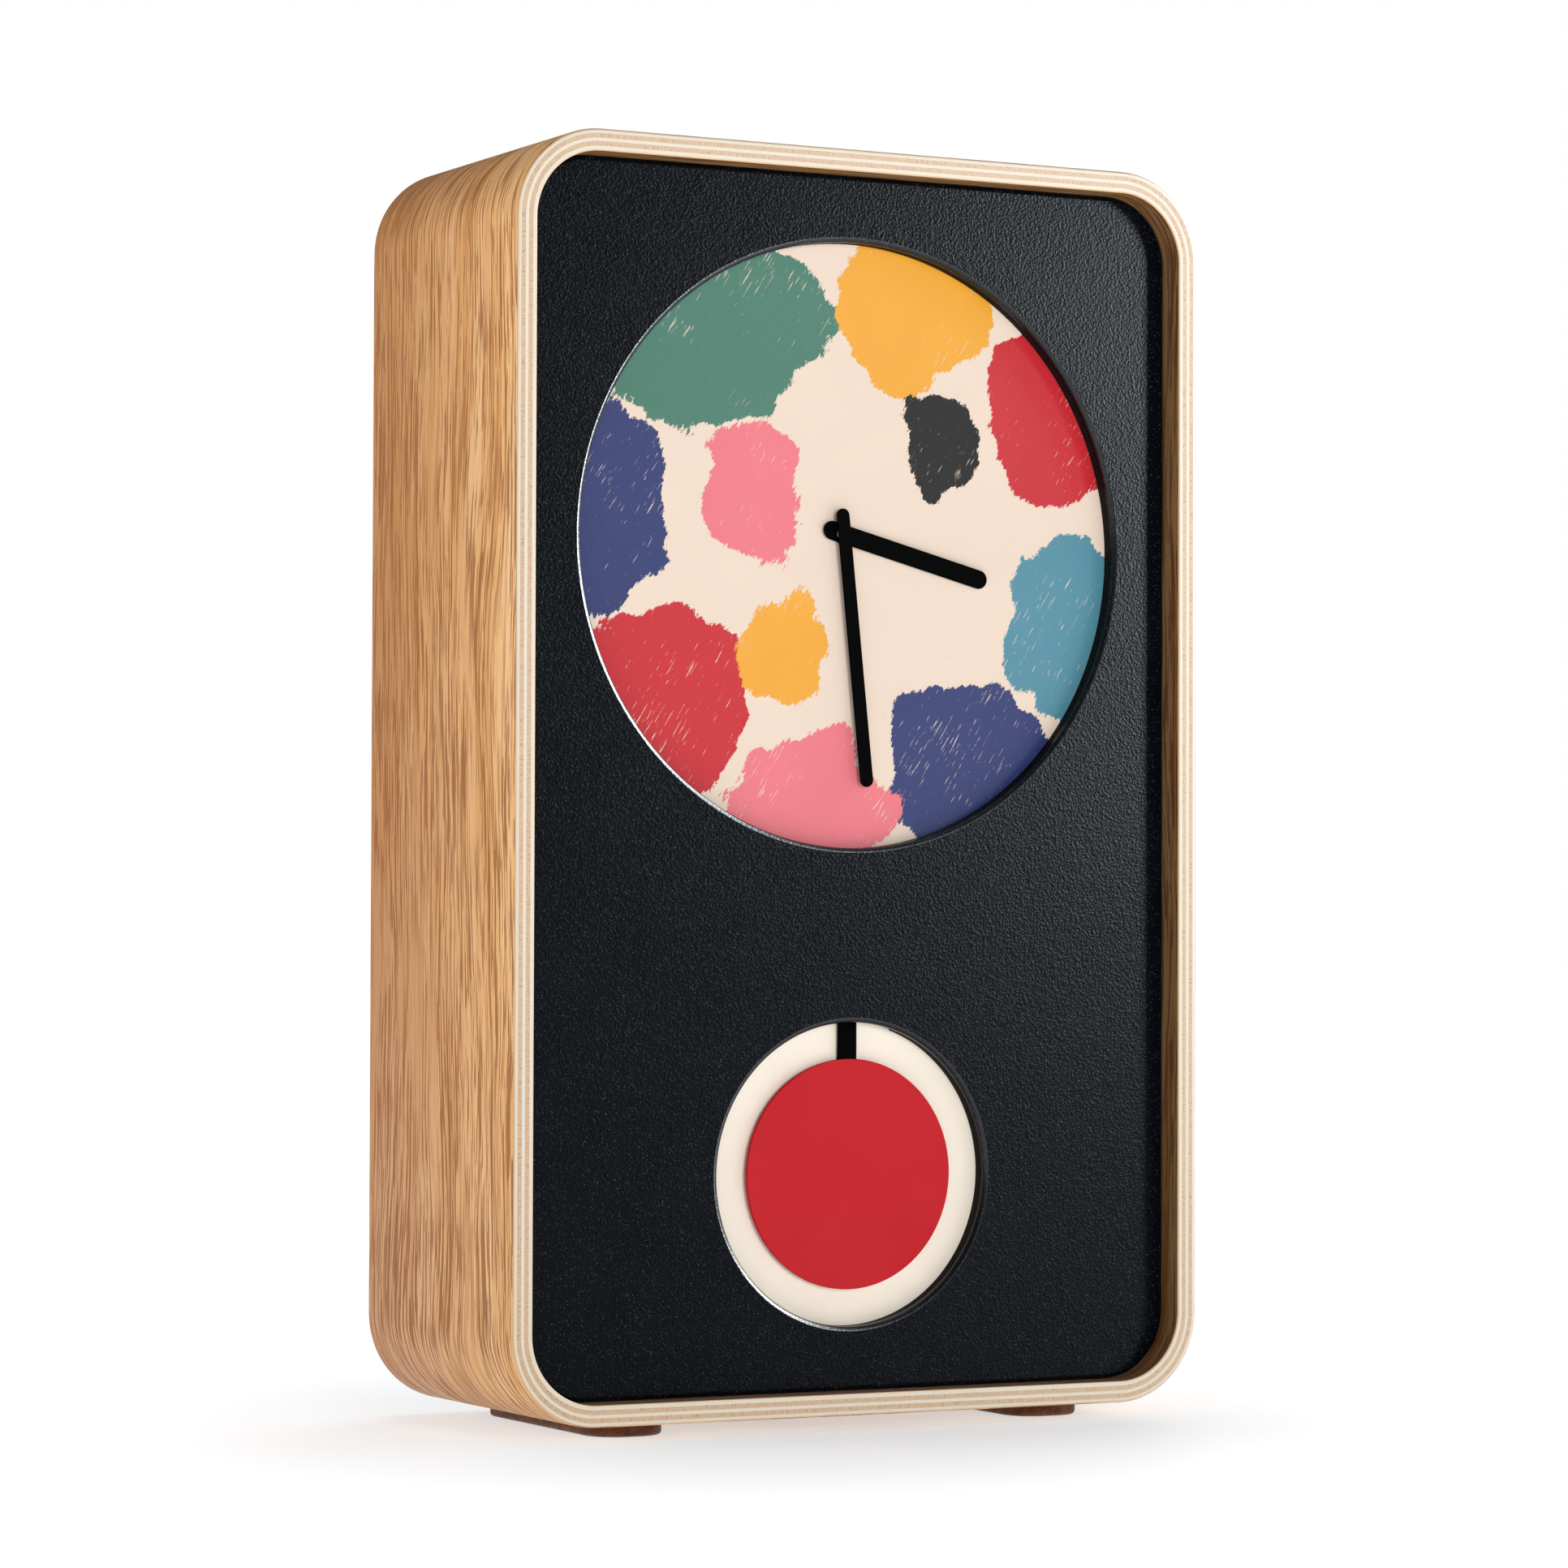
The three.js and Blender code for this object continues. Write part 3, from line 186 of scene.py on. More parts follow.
class Look:
    """A material under construction. Each method adds a node and returns its output socket."""

    def __init__(self, name, roughness=0.5, metallic=0.0, specular=0.5):
        self.material = bpy.data.materials.new(name)
        self.material.use_nodes = True
        self.tree = self.material.node_tree
        self.shader = self.tree.nodes["Principled BSDF"]
        self.shader.inputs["Roughness"].default_value = roughness
        self.shader.inputs["Metallic"].default_value = metallic
        self.shader.inputs["Specular IOR Level"].default_value = specular

    def put(self, socket, value):
        if isinstance(value, bpy.types.NodeSocket):
            self.tree.links.new(value, socket)
        elif hasattr(socket.default_value, "__len__"):
            width = len(socket.default_value)
            filled = list(value) if hasattr(value, "__len__") else [value] * width
            socket.default_value = (filled + [1.0])[:width]
        else:
            socket.default_value = value

    def set(self, name, value):
        self.put(self.shader.inputs[name], value)

    def place(self, scale=(1, 1, 1), rotation=(0, 0, 0), uv=None):
        """Coordinates in metres in the row frame, or those of a named UV map, turned and scaled."""
        if uv:
            source = self.tree.nodes.new("ShaderNodeUVMap")
            source.uv_map = uv
            vector = source.outputs["UV"]
        else:
            vector = self.tree.nodes.new("ShaderNodeTexCoord").outputs["Object"]
        turned = self.tree.nodes.new("ShaderNodeMapping")
        turned.inputs["Rotation"].default_value = rotation
        self.tree.links.new(vector, turned.inputs["Vector"])
        scaled = self.tree.nodes.new("ShaderNodeMapping")
        scaled.inputs["Scale"].default_value = scale
        self.tree.links.new(turned.outputs[0], scaled.inputs["Vector"])
        return scaled.outputs[0]

    def noise(self, vector, scale=1.0, detail=2.0, roughness=0.5, distortion=0.0):
        node = self.tree.nodes.new("ShaderNodeTexNoise")
        self.tree.links.new(vector, node.inputs["Vector"])
        node.inputs["Scale"].default_value = scale
        node.inputs["Detail"].default_value = detail
        node.inputs["Roughness"].default_value = roughness
        node.inputs["Distortion"].default_value = distortion
        return node.outputs["Fac"]

    def cells(self, vector, scale=1.0, feature="F1", output="Distance"):
        node = self.tree.nodes.new("ShaderNodeTexVoronoi")
        node.feature = feature
        self.tree.links.new(vector, node.inputs["Vector"])
        node.inputs["Scale"].default_value = scale
        return node.outputs[output]

    def math(self, operation, a, b=0.0, c=0.0, clamp=False):
        node = self.tree.nodes.new("ShaderNodeMath")
        node.operation = operation
        node.use_clamp = clamp
        for socket, value in zip(node.inputs, (a, b, c)):
            self.put(socket, value)
        return node.outputs[0]

    def times(self, a, b, clamp=False):
        return self.math("MULTIPLY", a, b, clamp=clamp)

    def range(self, value, low, high, to_low=0.0, to_high=1.0):
        node = self.tree.nodes.new("ShaderNodeMapRange")
        names = ("Value", "From Min", "From Max", "To Min", "To Max")
        for name, number in zip(names, (value, low, high, to_low, to_high)):
            self.put(node.inputs[name], number)
        return node.outputs["Result"]

    def mix(self, factor, a, b):
        node = self.tree.nodes.new("ShaderNodeMix")
        node.data_type = "RGBA"
        node.clamp_factor = True
        self.put(node.inputs["Factor"], factor)
        self.put(node.inputs["A"], a)
        self.put(node.inputs["B"], b)
        return node.outputs["Result"]

    def ramp(self, value, stops, interpolation="LINEAR"):
        node = self.tree.nodes.new("ShaderNodeValToRGB")
        node.color_ramp.interpolation = interpolation
        elements = node.color_ramp.elements
        while len(elements) < len(stops):
            elements.new(0.5)
        for element, (position, colour) in zip(elements, stops):
            element.position = position
            element.color = (*colour, 1)
        self.put(node.inputs["Fac"], value)
        return node.outputs["Color"]

    def join(self, x, y, z=0.0):
        node = self.tree.nodes.new("ShaderNodeCombineXYZ")
        for socket, value in zip(node.inputs, (x, y, z)):
            self.put(socket, value)
        return node.outputs[0]

    def split(self, vector):
        node = self.tree.nodes.new("ShaderNodeSeparateXYZ")
        self.tree.links.new(vector, node.inputs[0])
        return node.outputs

    def bump(self, height, distance, strength=1.0):
        node = self.tree.nodes.new("ShaderNodeBump")
        node.inputs["Distance"].default_value = distance
        node.inputs["Strength"].default_value = strength
        self.put(node.inputs["Height"], height)
        previous = self.shader.inputs["Normal"]
        if previous.is_linked:
            self.tree.links.new(previous.links[0].from_socket, node.inputs["Normal"])
        self.tree.links.new(node.outputs[0], previous)


def srgb(red, green, blue):
    """A colour as seen on screen, 0 to 255, as linear light."""
    return tuple(
        (c / 255 / 12.92) if c <= 10 else ((c / 255 + 0.055) / 1.055) ** 2.4
        for c in (red, green, blue)
    )


# ---- Materials -----------------------------------------------------------------------

RING_UV = "ring"  # metres along the ring and across the case's depth
EDGE_UV = "edge"  # metres along the ring and through the wall
PLY_COUNT = 5
PLY_SHARES = (0.88, 1.18, 0.88, 1.18, 0.88)  # thickness of each ply, light and tan in turn


def oak_grain(look, vector_uv):
    """Fields of an oak veneer: the grain runs along the first coordinate, in metres."""
    along, across, _ = look.split(look.place(uv=vector_uv))
    slow = look.noise(look.join(look.times(along, 7), look.times(across, 22)))
    sway = look.times(look.math("SUBTRACT", slow, 0.5), 0.018)
    bent = look.math("ADD", across, sway)

    def field(along_scale, across_scale, detail=3.0, shift=0.0):
        u = look.math("MULTIPLY_ADD", along, along_scale, shift)
        return look.noise(look.join(u, look.times(bent, across_scale)), detail=detail)

    return across, field


def make_oak(name, painted_shade=0.0):
    """Oak veneer with open pores, darkened toward dark brown by a share from 0 to 1 as painted
    shade.
    """
    look = Look(name, roughness=0.42, specular=0.25)
    across, field = oak_grain(look, RING_UV)
    broad = field(6, 90)
    streaks = field(14, 420, 3, 3.1)
    fine = field(90, 3600, 3, 7.7)
    large_pores = field(26, 920, 3, 1.3)
    small_pores = field(56, 1500, 2, 5.2)
    patches = field(14, 110, 2, 11.0)

    tone = look.math("ADD", look.times(broad, 0.6), look.times(streaks, 0.4))
    base = look.ramp(
        tone,
        [
            (0.36, srgb(200, 142, 84)),
            (0.45, srgb(220, 168, 110)),
            (0.55, srgb(230, 182, 128)),
            (0.66, srgb(236, 194, 146)),
        ],
    )
    # Painted shade: the veneer is darkened toward the back of the case, where less light falls.
    painted_back_shade = look.range(across, case_lo.y, case_hi.y, 0.0, 0.78)
    base = look.mix(painted_back_shade, base, srgb(164, 108, 60))
    fibre = look.range(fine, 0.35, 0.7)
    base = look.mix(look.times(fibre, 0.16), base, srgb(165, 112, 68))
    long_pores = look.range(large_pores, 0.55, 0.565)
    short_pores = look.range(small_pores, 0.55, 0.57, 0, 0.9)
    open_pores = look.math("MAXIMUM", long_pores, short_pores)
    gathered = look.times(open_pores, look.range(patches, 0.28, 0.46), clamp=True)
    base = look.mix(look.times(gathered, 0.84), base, srgb(140, 82, 40))
    # A share above 0 paints shade into the colour: the oak darkened toward dark brown.
    look.set("Base Color", look.mix(painted_shade, base, srgb(58, 32, 16)) if painted_shade else base)
    look.set("Roughness", look.range(gathered, 0, 1, 0.38, 0.62))
    depth = look.math("SUBTRACT", look.times(fibre, 0.3), gathered)
    look.bump(depth, 0.06 * MM, 0.9)
    return look.material


def make_ply_edge():
    """The case's edge: seven layers, told apart by their depth through the wall."""
    look = Look("ply_edge", roughness=0.55)
    along, through, _ = look.split(look.place(uv=EDGE_UV))
    wobble_place = look.join(look.times(along, 90), 0.0)
    wobble = look.math("SUBTRACT", look.noise(wobble_place, detail=2), 0.5)
    level = look.math("MULTIPLY_ADD", wobble, 0.09 * MM, through)
    part = look.math("DIVIDE", level, CASE_WALL)

    veneer = VENEER / CASE_WALL
    light, tan = srgb(220, 207, 187), srgb(199, 163, 123)
    glue = srgb(196, 162, 120)
    stops = [(0.0, srgb(196, 148, 98))]
    in_tan = 0.0
    start = veneer
    for number, share in enumerate(PLY_SHARES):
        end = start + share / sum(PLY_SHARES) * (1 - 2 * veneer)
        colour = tan if number % 2 else light
        stops += [(start, glue), (start + 0.012, colour), (end - 0.008, colour)]
        if number % 2:
            over = look.math("GREATER_THAN", part, start)
            under = look.math("LESS_THAN", part, end)
            in_tan = look.math("ADD", look.times(over, under), in_tan)
        start = end
    stops.append((1 - veneer, srgb(222, 186, 142)))
    base = look.ramp(part, stops)

    ticks = look.noise(
        look.join(look.times(along, 2600), look.times(through, 900)), detail=3
    )
    rows = look.noise(
        look.join(look.times(along, 130), look.times(through, 9000)), detail=3
    )
    blush = look.noise(look.join(look.times(along, 24), 2.0), detail=2)
    dark_ticks = look.times(look.range(ticks, 0.5, 0.72), in_tan, clamp=True)
    base = look.mix(look.times(dark_ticks, 0.7), base, srgb(142, 98, 58))
    base = look.mix(look.range(rows, 0.45, 0.8, 0, 0.16), base, srgb(196, 164, 120))
    base = look.mix(look.range(blush, 0.4, 0.75, 0, 0.15), base, srgb(214, 186, 146))
    look.set("Base Color", base)
    look.bump(look.math("SUBTRACT", rows, look.times(dark_ticks, 1.4)), 0.03 * MM, 0.8)
    return look.material


def make_panel(name, specular, tooth):
    """Fine-grained black leatherette, with sparse bright flecks. Its tooth is in millimetres."""
    look = Look(name, roughness=0.24, specular=specular)
    grain = look.cells(look.place(), 1500)
    pits = look.noise(look.place(), 2600, 3, 0.6)
    cloud = look.noise(look.place(), 60, 2)
    chance, _, _ = look.split(look.cells(look.place(), 3400, output="Color"))
    middle = look.range(look.cells(look.place(), 3400), 0.18, 0.34, 1.0, 0.0)
    fleck = look.times(look.range(chance, 0.88, 0.92), middle, clamp=True)
    base = look.mix(look.range(cloud, 0.3, 0.7), (0.0015, 0.0022, 0.0038), (0.0025, 0.0034, 0.0054))
    look.set("Base Color", look.mix(fleck, base, (0.13, 0.145, 0.17)))
    height = look.math("ADD", look.times(grain, 0.9), look.times(pits, 0.6))
    look.set("Roughness", look.range(pits, 0.35, 0.7, 0.2, 0.3))
    look.bump(height, tooth * MM, 1.0)
    return look.material


def make_paint(name, colour, roughness, grain=2600, depth=0.01, variation=0.12, specular=0.5):
    """Paint or moulded plastic: a fine skin, with slight changes of tone and gloss."""
    look = Look(name, roughness, specular=specular)
    cloud = look.noise(look.place(), 55, 3)
    skin = look.noise(look.place(), grain, 2, 0.6)
    darker = tuple(c * (1 - variation) for c in colour)
    lighter = tuple(min(1, c * (1 + variation)) for c in colour)
    look.set("Base Color", look.mix(look.range(cloud, 0.3, 0.7), darker, lighter))
    look.set("Roughness", look.range(skin, 0.3, 0.7, roughness - 0.06, roughness + 0.08))
    look.bump(skin, depth * MM, 0.8)
    return look.material


def make_metal(name, colour, roughness, stretch=(900, 900, 900)):
    """Metal with a fine brushed skin, drawn out by the stretch's smaller numbers."""
    look = Look(name, roughness, metallic=1.0)
    brush = look.noise(look.place(stretch), 1, 3)
    cloud = look.noise(look.place(), 240, 2)
    darker = tuple(c * 0.82 for c in colour)
    look.set("Base Color", look.mix(look.range(cloud, 0.3, 0.7), darker, colour))
    look.set("Roughness", look.range(brush, 0.3, 0.7, roughness - 0.08, roughness + 0.12))
    look.bump(brush, 0.006 * MM, 0.6)
    return look.material


def make_card(name, colour):
    """Uncoated paper: fine fibres and a slight tooth."""
    look = Look(name, 0.85, specular=0.25)
    fibres = look.noise(look.place((1800, 1800, 5200)), 1, 3)
    cloud = look.noise(look.place(), 70, 3)
    base = look.mix(look.range(cloud, 0.35, 0.65), tuple(c * 0.97 for c in colour), colour)
    base = look.mix(look.range(fibres, 0.6, 0.8, 0, 0.05), base, tuple(c * 0.8 for c in colour))
    look.set("Base Color", base)
    look.bump(fibres, 0.008 * MM, 0.6)
    return look.material


DIAL_CREAM = srgb(238, 217, 199)
RED, PINK, AMBER = srgb(203, 43, 52), srgb(238, 124, 134), srgb(243, 170, 56)
TEAL, GREEN, NAVY = srgb(86, 144, 162), srgb(76, 126, 108), srgb(50, 60, 112)
BLACK = srgb(24, 20, 18)

# Crayon spots, each drawn over the ones before it: place from the dial's centre, width and
# height in millimetres, tilt in degrees, and colour.
SPOTS = [
    (-34, 50, 62, 42, 14, GREEN),
    (20, 60, 44, 42, 0, AMBER),
    (60, 36, 46, 52, -18, RED),
    (66, -20, 44, 50, 8, TEAL),
    (36, -54, 52, 42, -12, NAVY),
    (-10, -62, 46, 34, 0, PINK),
    (-52, -40, 52, 48, 24, RED),
    (-66, 6, 38, 50, 0, NAVY),
    (-25, 12, 27, 32, 20, PINK),
    (27, 26, 24, 21, 0, BLACK),
    (-17, -27, 21, 28, -28, AMBER),
]


def make_dial():
    """Cream paper printed with crayon spots."""
    look = Look("dial_print", 0.85, specular=0.15)
    stroke_turn = (0, math.radians(-32), 0)
    # Rows of crayon strokes: the noise is drawn out along one slanted direction.
    rag = look.noise(look.place((1100, 1, 420), stroke_turn), 1, 4, 0.65)
    lumps = look.noise(look.place(), 62, 2, 0.5)
    gaps = look.noise(look.place((2300, 1, 150), stroke_turn), 1, 3, 0.6)
    tooth = look.noise(look.place(), 2600, 3, 0.6)
    clusters = look.noise(look.place(), 34, 2)
    x, _, z = look.split(look.place())

    edge = look.times(look.math("SUBTRACT", rag, 0.5), 5.0 * MM)
    edge = look.math("MULTIPLY_ADD", look.math("SUBTRACT", lumps, 0.5), 20 * MM, edge)
    edge = look.math("MULTIPLY_ADD", look.math("SUBTRACT", tooth, 0.5), 1.2 * MM, edge)
    # Bare paper shows between the strokes where the crayon was pressed lightly.
    light_touch = look.range(clusters, 0.38, 0.66, 0.74, 0.60)
    streaks = look.range(look.math("SUBTRACT", gaps, light_touch), -0.01, 0.015, 0, 0.8)
    flecks = look.range(look.math("MULTIPLY_ADD", gaps, 0.5, tooth), 0.985, 1.02, 0, 0.75)
    missed = look.math("MAXIMUM", streaks, flecks)

    paper = look.mix(look.range(lumps, 0.3, 0.7), tuple(c * 0.975 for c in DIAL_CREAM), DIAL_CREAM)
    crumbs = look.times(look.range(gaps, 0.66, 0.7), look.range(tooth, 0.52, 0.6))
    base = look.mix(look.times(crumbs, 0.6, clamp=True), paper, PINK)
    covered = 0.0
    for across, up, width, height, tilt, colour in SPOTS:
        turn = math.radians(tilt)
        from_x = look.math("SUBTRACT", x, DIAL_CENTRE.x + across * MM)
        from_z = look.math("SUBTRACT", z, DIAL_CENTRE.y + up * MM)
        flat_x = look.math(
            "MULTIPLY_ADD", from_x, math.cos(turn), look.times(from_z, math.sin(turn))
        )
        flat_z = look.math(
            "MULTIPLY_ADD", from_z, math.cos(turn), look.times(from_x, -math.sin(turn))
        )
        flat_x = look.times(flat_x, height / width)
        square = look.times(flat_x, flat_x)
        reach = look.math("SQRT", look.math("MULTIPLY_ADD", flat_z, flat_z, square))
        inside = look.math("SUBTRACT", height / 2 * MM, look.math("ADD", reach, edge))
        solid = look.range(inside, -0.12 * MM, 0.12 * MM)
        painted = look.times(solid, look.math("SUBTRACT", 1.0, missed), clamp=True)
        shade = look.mix(look.range(clusters, 0.3, 0.7), tuple(c * 0.93 for c in colour), colour)
        base = look.mix(painted, base, shade)
        covered = look.math("MAXIMUM", painted, covered)
    look.set("Base Color", base)
    wax = look.math("MULTIPLY_ADD", covered, 1.6, look.times(tooth, 0.5))
    look.set("Roughness", look.range(covered, 0, 1, 0.88, 0.74))
    look.bump(wax, 0.02 * MM, 0.7)
    return look.material


def make_bob_red():
    look = Look("bob_red", 0.72, specular=0.02)
    skin = look.noise(look.place(), 2400, 3, 0.6)
    cloud = look.noise(look.place(), 45, 3)
    base = look.mix(look.range(cloud, 0.3, 0.7), srgb(196, 38, 46), srgb(201, 43, 50))
    look.set("Base Color", base)
    look.set("Roughness", look.range(skin, 0.3, 0.7, 0.68, 0.8))
    look.bump(skin, 0.01 * MM, 0.7)
    return look.material


def make_felt():
    """Pressed brown felt: matted fibres over a mottled colour, with a faint nap."""
    look = Look("brown_felt", 0.95, specular=0.15)
    look.set("Sheen Weight", 0.25)
    look.set("Sheen Roughness", 0.5)
    fibres = look.noise(look.place((1500, 1500, 4200)), 1, 4, 0.7, 1.2)
    tufts = look.noise(look.place(), 2100, 3, 0.7)
    mottle = look.noise(look.place(), 260, 2)
    tone = look.math("ADD", look.times(fibres, 0.6), look.times(mottle, 0.4))
    base = look.ramp(
        tone, [(0.38, srgb(58, 31, 18)), (0.5, srgb(88, 50, 29)), (0.62, srgb(124, 76, 44))]
    )
    base = look.mix(look.range(tufts, 0.6, 0.8, 0, 0.5), base, srgb(150, 98, 60))
    look.set("Base Color", base)
    look.bump(look.math("ADD", fibres, tufts), 0.16 * MM, 0.9)
    return look.material


def make_pine(name, across):
    """Planed softwood. The grain runs along the piece, which is Z or X in the row frame."""
    look = Look(name, 0.6, specular=0.35)
    scale = (330, 330, 9) if across == "X" else (9, 330, 330)
    fine_scale = (3800, 3800, 60) if across == "X" else (60, 3800, 3800)
    rings = look.noise(look.place(scale), 1, 3, 0.5, 0.6)
    fine = look.noise(look.place(fine_scale), 1, 3)
    base = look.ramp(
        rings,
        [(0.35, srgb(196, 150, 96)), (0.5, srgb(222, 186, 134)), (0.65, srgb(234, 206, 160))],
    )
    base = look.mix(look.range(fine, 0.5, 0.8, 0, 0.3), base, srgb(176, 130, 80))
    look.set("Base Color", base)
    look.bump(fine, 0.03 * MM, 0.8)
    return look.material


def make_fibreboard():
    look = Look("fibreboard_black", 0.9, specular=0.2)
    fibres = look.noise(look.place((500, 500, 2300)), 1, 4, 0.65)
    flecks = look.noise(look.place(), 1600, 3, 0.7)
    base = look.mix(look.range(fibres, 0.35, 0.7), srgb(11, 11, 11), srgb(22, 21, 20))
    base = look.mix(look.range(flecks, 0.66, 0.76, 0, 0.3), base, srgb(44, 41, 37))
    look.set("Base Color", base)
    look.bump(look.math("ADD", fibres, flecks), 0.05 * MM, 0.8)
    return look.material


LOOKS = {
    "oak_plywood": make_oak("oak_veneer"),
    # The case's inner faces: the same oak with painted shade for the recess.
    "oak_inside_painted_shade": make_oak("oak_inside_painted_shade", 0.6),
    "ply_edge": make_ply_edge(),
    "brown_felt": make_felt(),
    "panel_black": make_panel("panel_leatherette", 0.046, 0.05),
    "panel_rim": make_panel("panel_turned_edge", 0.42, 0.02),
    "black_board": make_fibreboard(),
    "pine": make_pine("pine_upright", "X"),
    "pine_cross": make_pine("pine_cross", "Z"),
    "dial_print": make_dial(),
    "cream_card": make_card("cream_card", srgb(255, 244, 227)),
    "grey_board": make_card("grey_board", srgb(176, 172, 164)),
    "hand_black": make_paint("hand_black", (0.0012, 0.0012, 0.0013), 0.8, specular=0.01),
    "brass": make_metal("aged_brass", srgb(62, 50, 32), 0.5),
    "nylon": make_paint("nylon", srgb(238, 234, 222), 0.42, 1500, 0.008, 0.03),
    "acetal": make_paint("acetal", srgb(214, 206, 188), 0.4, 1500, 0.008, 0.04),
    "magnet": make_metal("magnet", srgb(88, 90, 94), 0.45),
    "housing_plastic": make_paint("housing_plastic", (0.013, 0.0135, 0.015), 0.5, 3200, 0.03),
    "foam": make_paint("foam", srgb(226, 226, 220), 0.9, 1400, 0.12, 0.05, 0.2),
    "steel": make_metal("steel", srgb(196, 198, 202), 0.32),
    "copper": make_metal("copper_wire", srgb(190, 110, 62), 0.36, (9000, 200, 200)),
    "circuit_board": make_paint("circuit_board", srgb(28, 92, 56), 0.35, 900, 0.02, 0.15),
    "epoxy": make_paint("epoxy", (0.006, 0.006, 0.007), 0.2, 500, 0.02),
    "cell_jacket": make_metal("cell_jacket", srgb(176, 182, 190), 0.35, (40, 2200, 2200)),
    "bob_red": make_bob_red(),
}

# ---- Mesh helpers --------------------------------------------------------------------


def add_object(name, vertices, faces, looks, face_looks=None, smooth_angle=35):
    mesh = bpy.data.meshes.new(name)
    mesh.from_pydata([tuple(v) for v in vertices], [], faces)
    for look in looks:
        mesh.materials.append(LOOKS[look])
    if face_looks:
        mesh.polygons.foreach_set("material_index", face_looks)
    mesh.shade_smooth()
    mesh.set_sharp_from_angle(angle=math.radians(smooth_angle))
    mesh.update()
    thing = bpy.data.objects.new(name, mesh)
    scene.collection.objects.link(thing)
    return thing


def arc(centre_x, centre_z, radius, start, end, steps):
    """Points from one angle to another, both included, in degrees anticlockwise."""
    points = []
    for i in range(steps + 1):
        angle = math.radians(start + (end - start) * i / steps)
        points.append((centre_x + radius * math.cos(angle), centre_z + radius * math.sin(angle)))
    return points


def rounded_rectangle(width, height, radius, centre=(0, 0), steps=16):
    """An outline as a function of its inset, so that bevel rings have the same points."""

    def outline(inset):
        half_x, half_z = width / 2 - inset, height / 2 - inset
        corner = max(radius - inset, 1e-5)
        points = []
        for side_x, side_z, start in ((1, 1, 0), (-1, 1, 90), (-1, -1, 180), (1, -1, 270)):
            points += arc(
                centre[0] + side_x * (half_x - corner),
                centre[1] + side_z * (half_z - corner),
                corner,
                start,
                start + 90,
                steps,
            )
        return points

    return outline


def circle(radius, centre=(0, 0), steps=128):
    def outline(inset):
        return arc(centre[0], centre[1], radius - inset, 0, 360, steps)[:-1]

    return outline


def bevel_rings(front, back, bevel, back_bevel, bevel_steps):
    """(inset, depth) pairs round a plate's edge, from its front face to its back face."""
    rings = []
    for i in range(bevel_steps + 1):
        angle = math.pi / 2 * i / bevel_steps
        rings.append((bevel * (1 - math.sin(angle)), front + bevel * (1 - math.cos(angle))))
    for i in range(bevel_steps + 1):
        angle = math.pi / 2 * i / bevel_steps
        inset = back_bevel * (1 - math.cos(angle))
        rings.append((inset, back - back_bevel * (1 - math.sin(angle))))
    return rings


def plate(
    name, outer, holes, front, back, bevel, look, bevel_steps=4, print_look=None, back_bevel=None,
    rim_look=None,
):
    """A flat piece in the XZ plane from Y = front to Y = back, with rounded arrises.

    A print look, where there is one, is for its front face only, and a rim look for the rounded
    front arrises of its holes.
    """
    vertices, faces, caps = [], [], {"front": [], "back": []}
    face_looks = []
    for outline, sign in [(outer, 1)] + [(hole, -1) for hole in holes]:
        loops = []
        for inset, depth in bevel_rings(front, back, bevel, back_bevel or bevel, bevel_steps):
            start = len(vertices)
            points = outline(sign * inset)
            vertices += [(x, depth, z) for x, z in points]
            loops.append(list(range(start, start + len(points))))
        for level, (near, far) in enumerate(zip(loops, loops[1:])):
            count = len(near)
            on_rim = rim_look and sign < 0 and level < bevel_steps
            for i in range(count):
                after = (i + 1) % count
                quad = (near[i], near[after], far[after], far[i])
                faces.append(quad if sign > 0 else quad[::-1])
                face_looks.append(1 if on_rim else 0)
        caps["front"].append(loops[0])
        caps["back"].append(loops[-1])
    for side, loops in caps.items():
        polygons = [[Vector((vertices[i][0], vertices[i][2], 0)) for i in loop] for loop in loops]
        flat = [i for loop in loops for i in loop]
        for triangle in geometry.tessellate_polygon(polygons):
            face = [flat[i] for i in triangle]
            a, b, c = (Vector(vertices[i]) for i in face)
            faces_front = (b - a).cross(c - a).y < 0
            if faces_front != (side == "front"):
                face.reverse()
            faces.append(tuple(face))
            face_looks.append(1 if print_look and side == "front" else 0)
    looks = [look] + [extra for extra in (print_look, rim_look) if extra]
    return add_object(name, vertices, faces, looks, face_looks)


def stand_for(piece, body, node):
    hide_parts(node)
    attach(piece, body)


# ---- The plywood case ----------------------------------------------------------------


def ring_path(corner_steps=24, straight_steps=12):
    """Stations round the case's outer outline: (x, z, outward normal, distance along it)."""
    half_x, half_z = CASE_WIDTH / 2, CASE_HEIGHT / 2
    reach_x, reach_z = half_x - CASE_RADIUS, half_z - CASE_RADIUS
    corners = [(1, 1, 0), (-1, 1, 90), (-1, -1, 180), (1, -1, 270)]
    stations = []
    for side_x, side_z, start in corners:
        for i in range(corner_steps + 1):
            angle = math.radians(start + 90 * i / corner_steps)
            normal = Vector((math.cos(angle), math.sin(angle)))
            centre = Vector((side_x * reach_x, CASE_CENTRE_Z + side_z * reach_z))
            stations.append((centre + CASE_RADIUS * normal, normal))
        next_start = math.radians(start + 90)
        normal = Vector((math.cos(next_start), math.sin(next_start)))
        here = stations[-1][0]
        length = 2 * (reach_x if start in (0, 180) else reach_z)
        forward = Vector((-normal.y, normal.x))
        for i in range(1, straight_steps):
            stations.append((here + forward * (length * i / straight_steps), normal))
    # The veneer's joint, where the distance starts, is under the middle of the case.
    under = Vector((0, case_lo.z))
    joint = min(range(len(stations)), key=lambda i: (stations[i][0] - under).length)
    stations = stations[joint:] + stations[:joint]
    path, distance = [], 0.0
    for i, (point, normal) in enumerate(stations):
        if i:
            distance += (point - stations[i - 1][0]).length
        path.append((point, normal, distance))
    closing = (stations[0][0] - stations[-1][0]).length
    return path, distance + closing


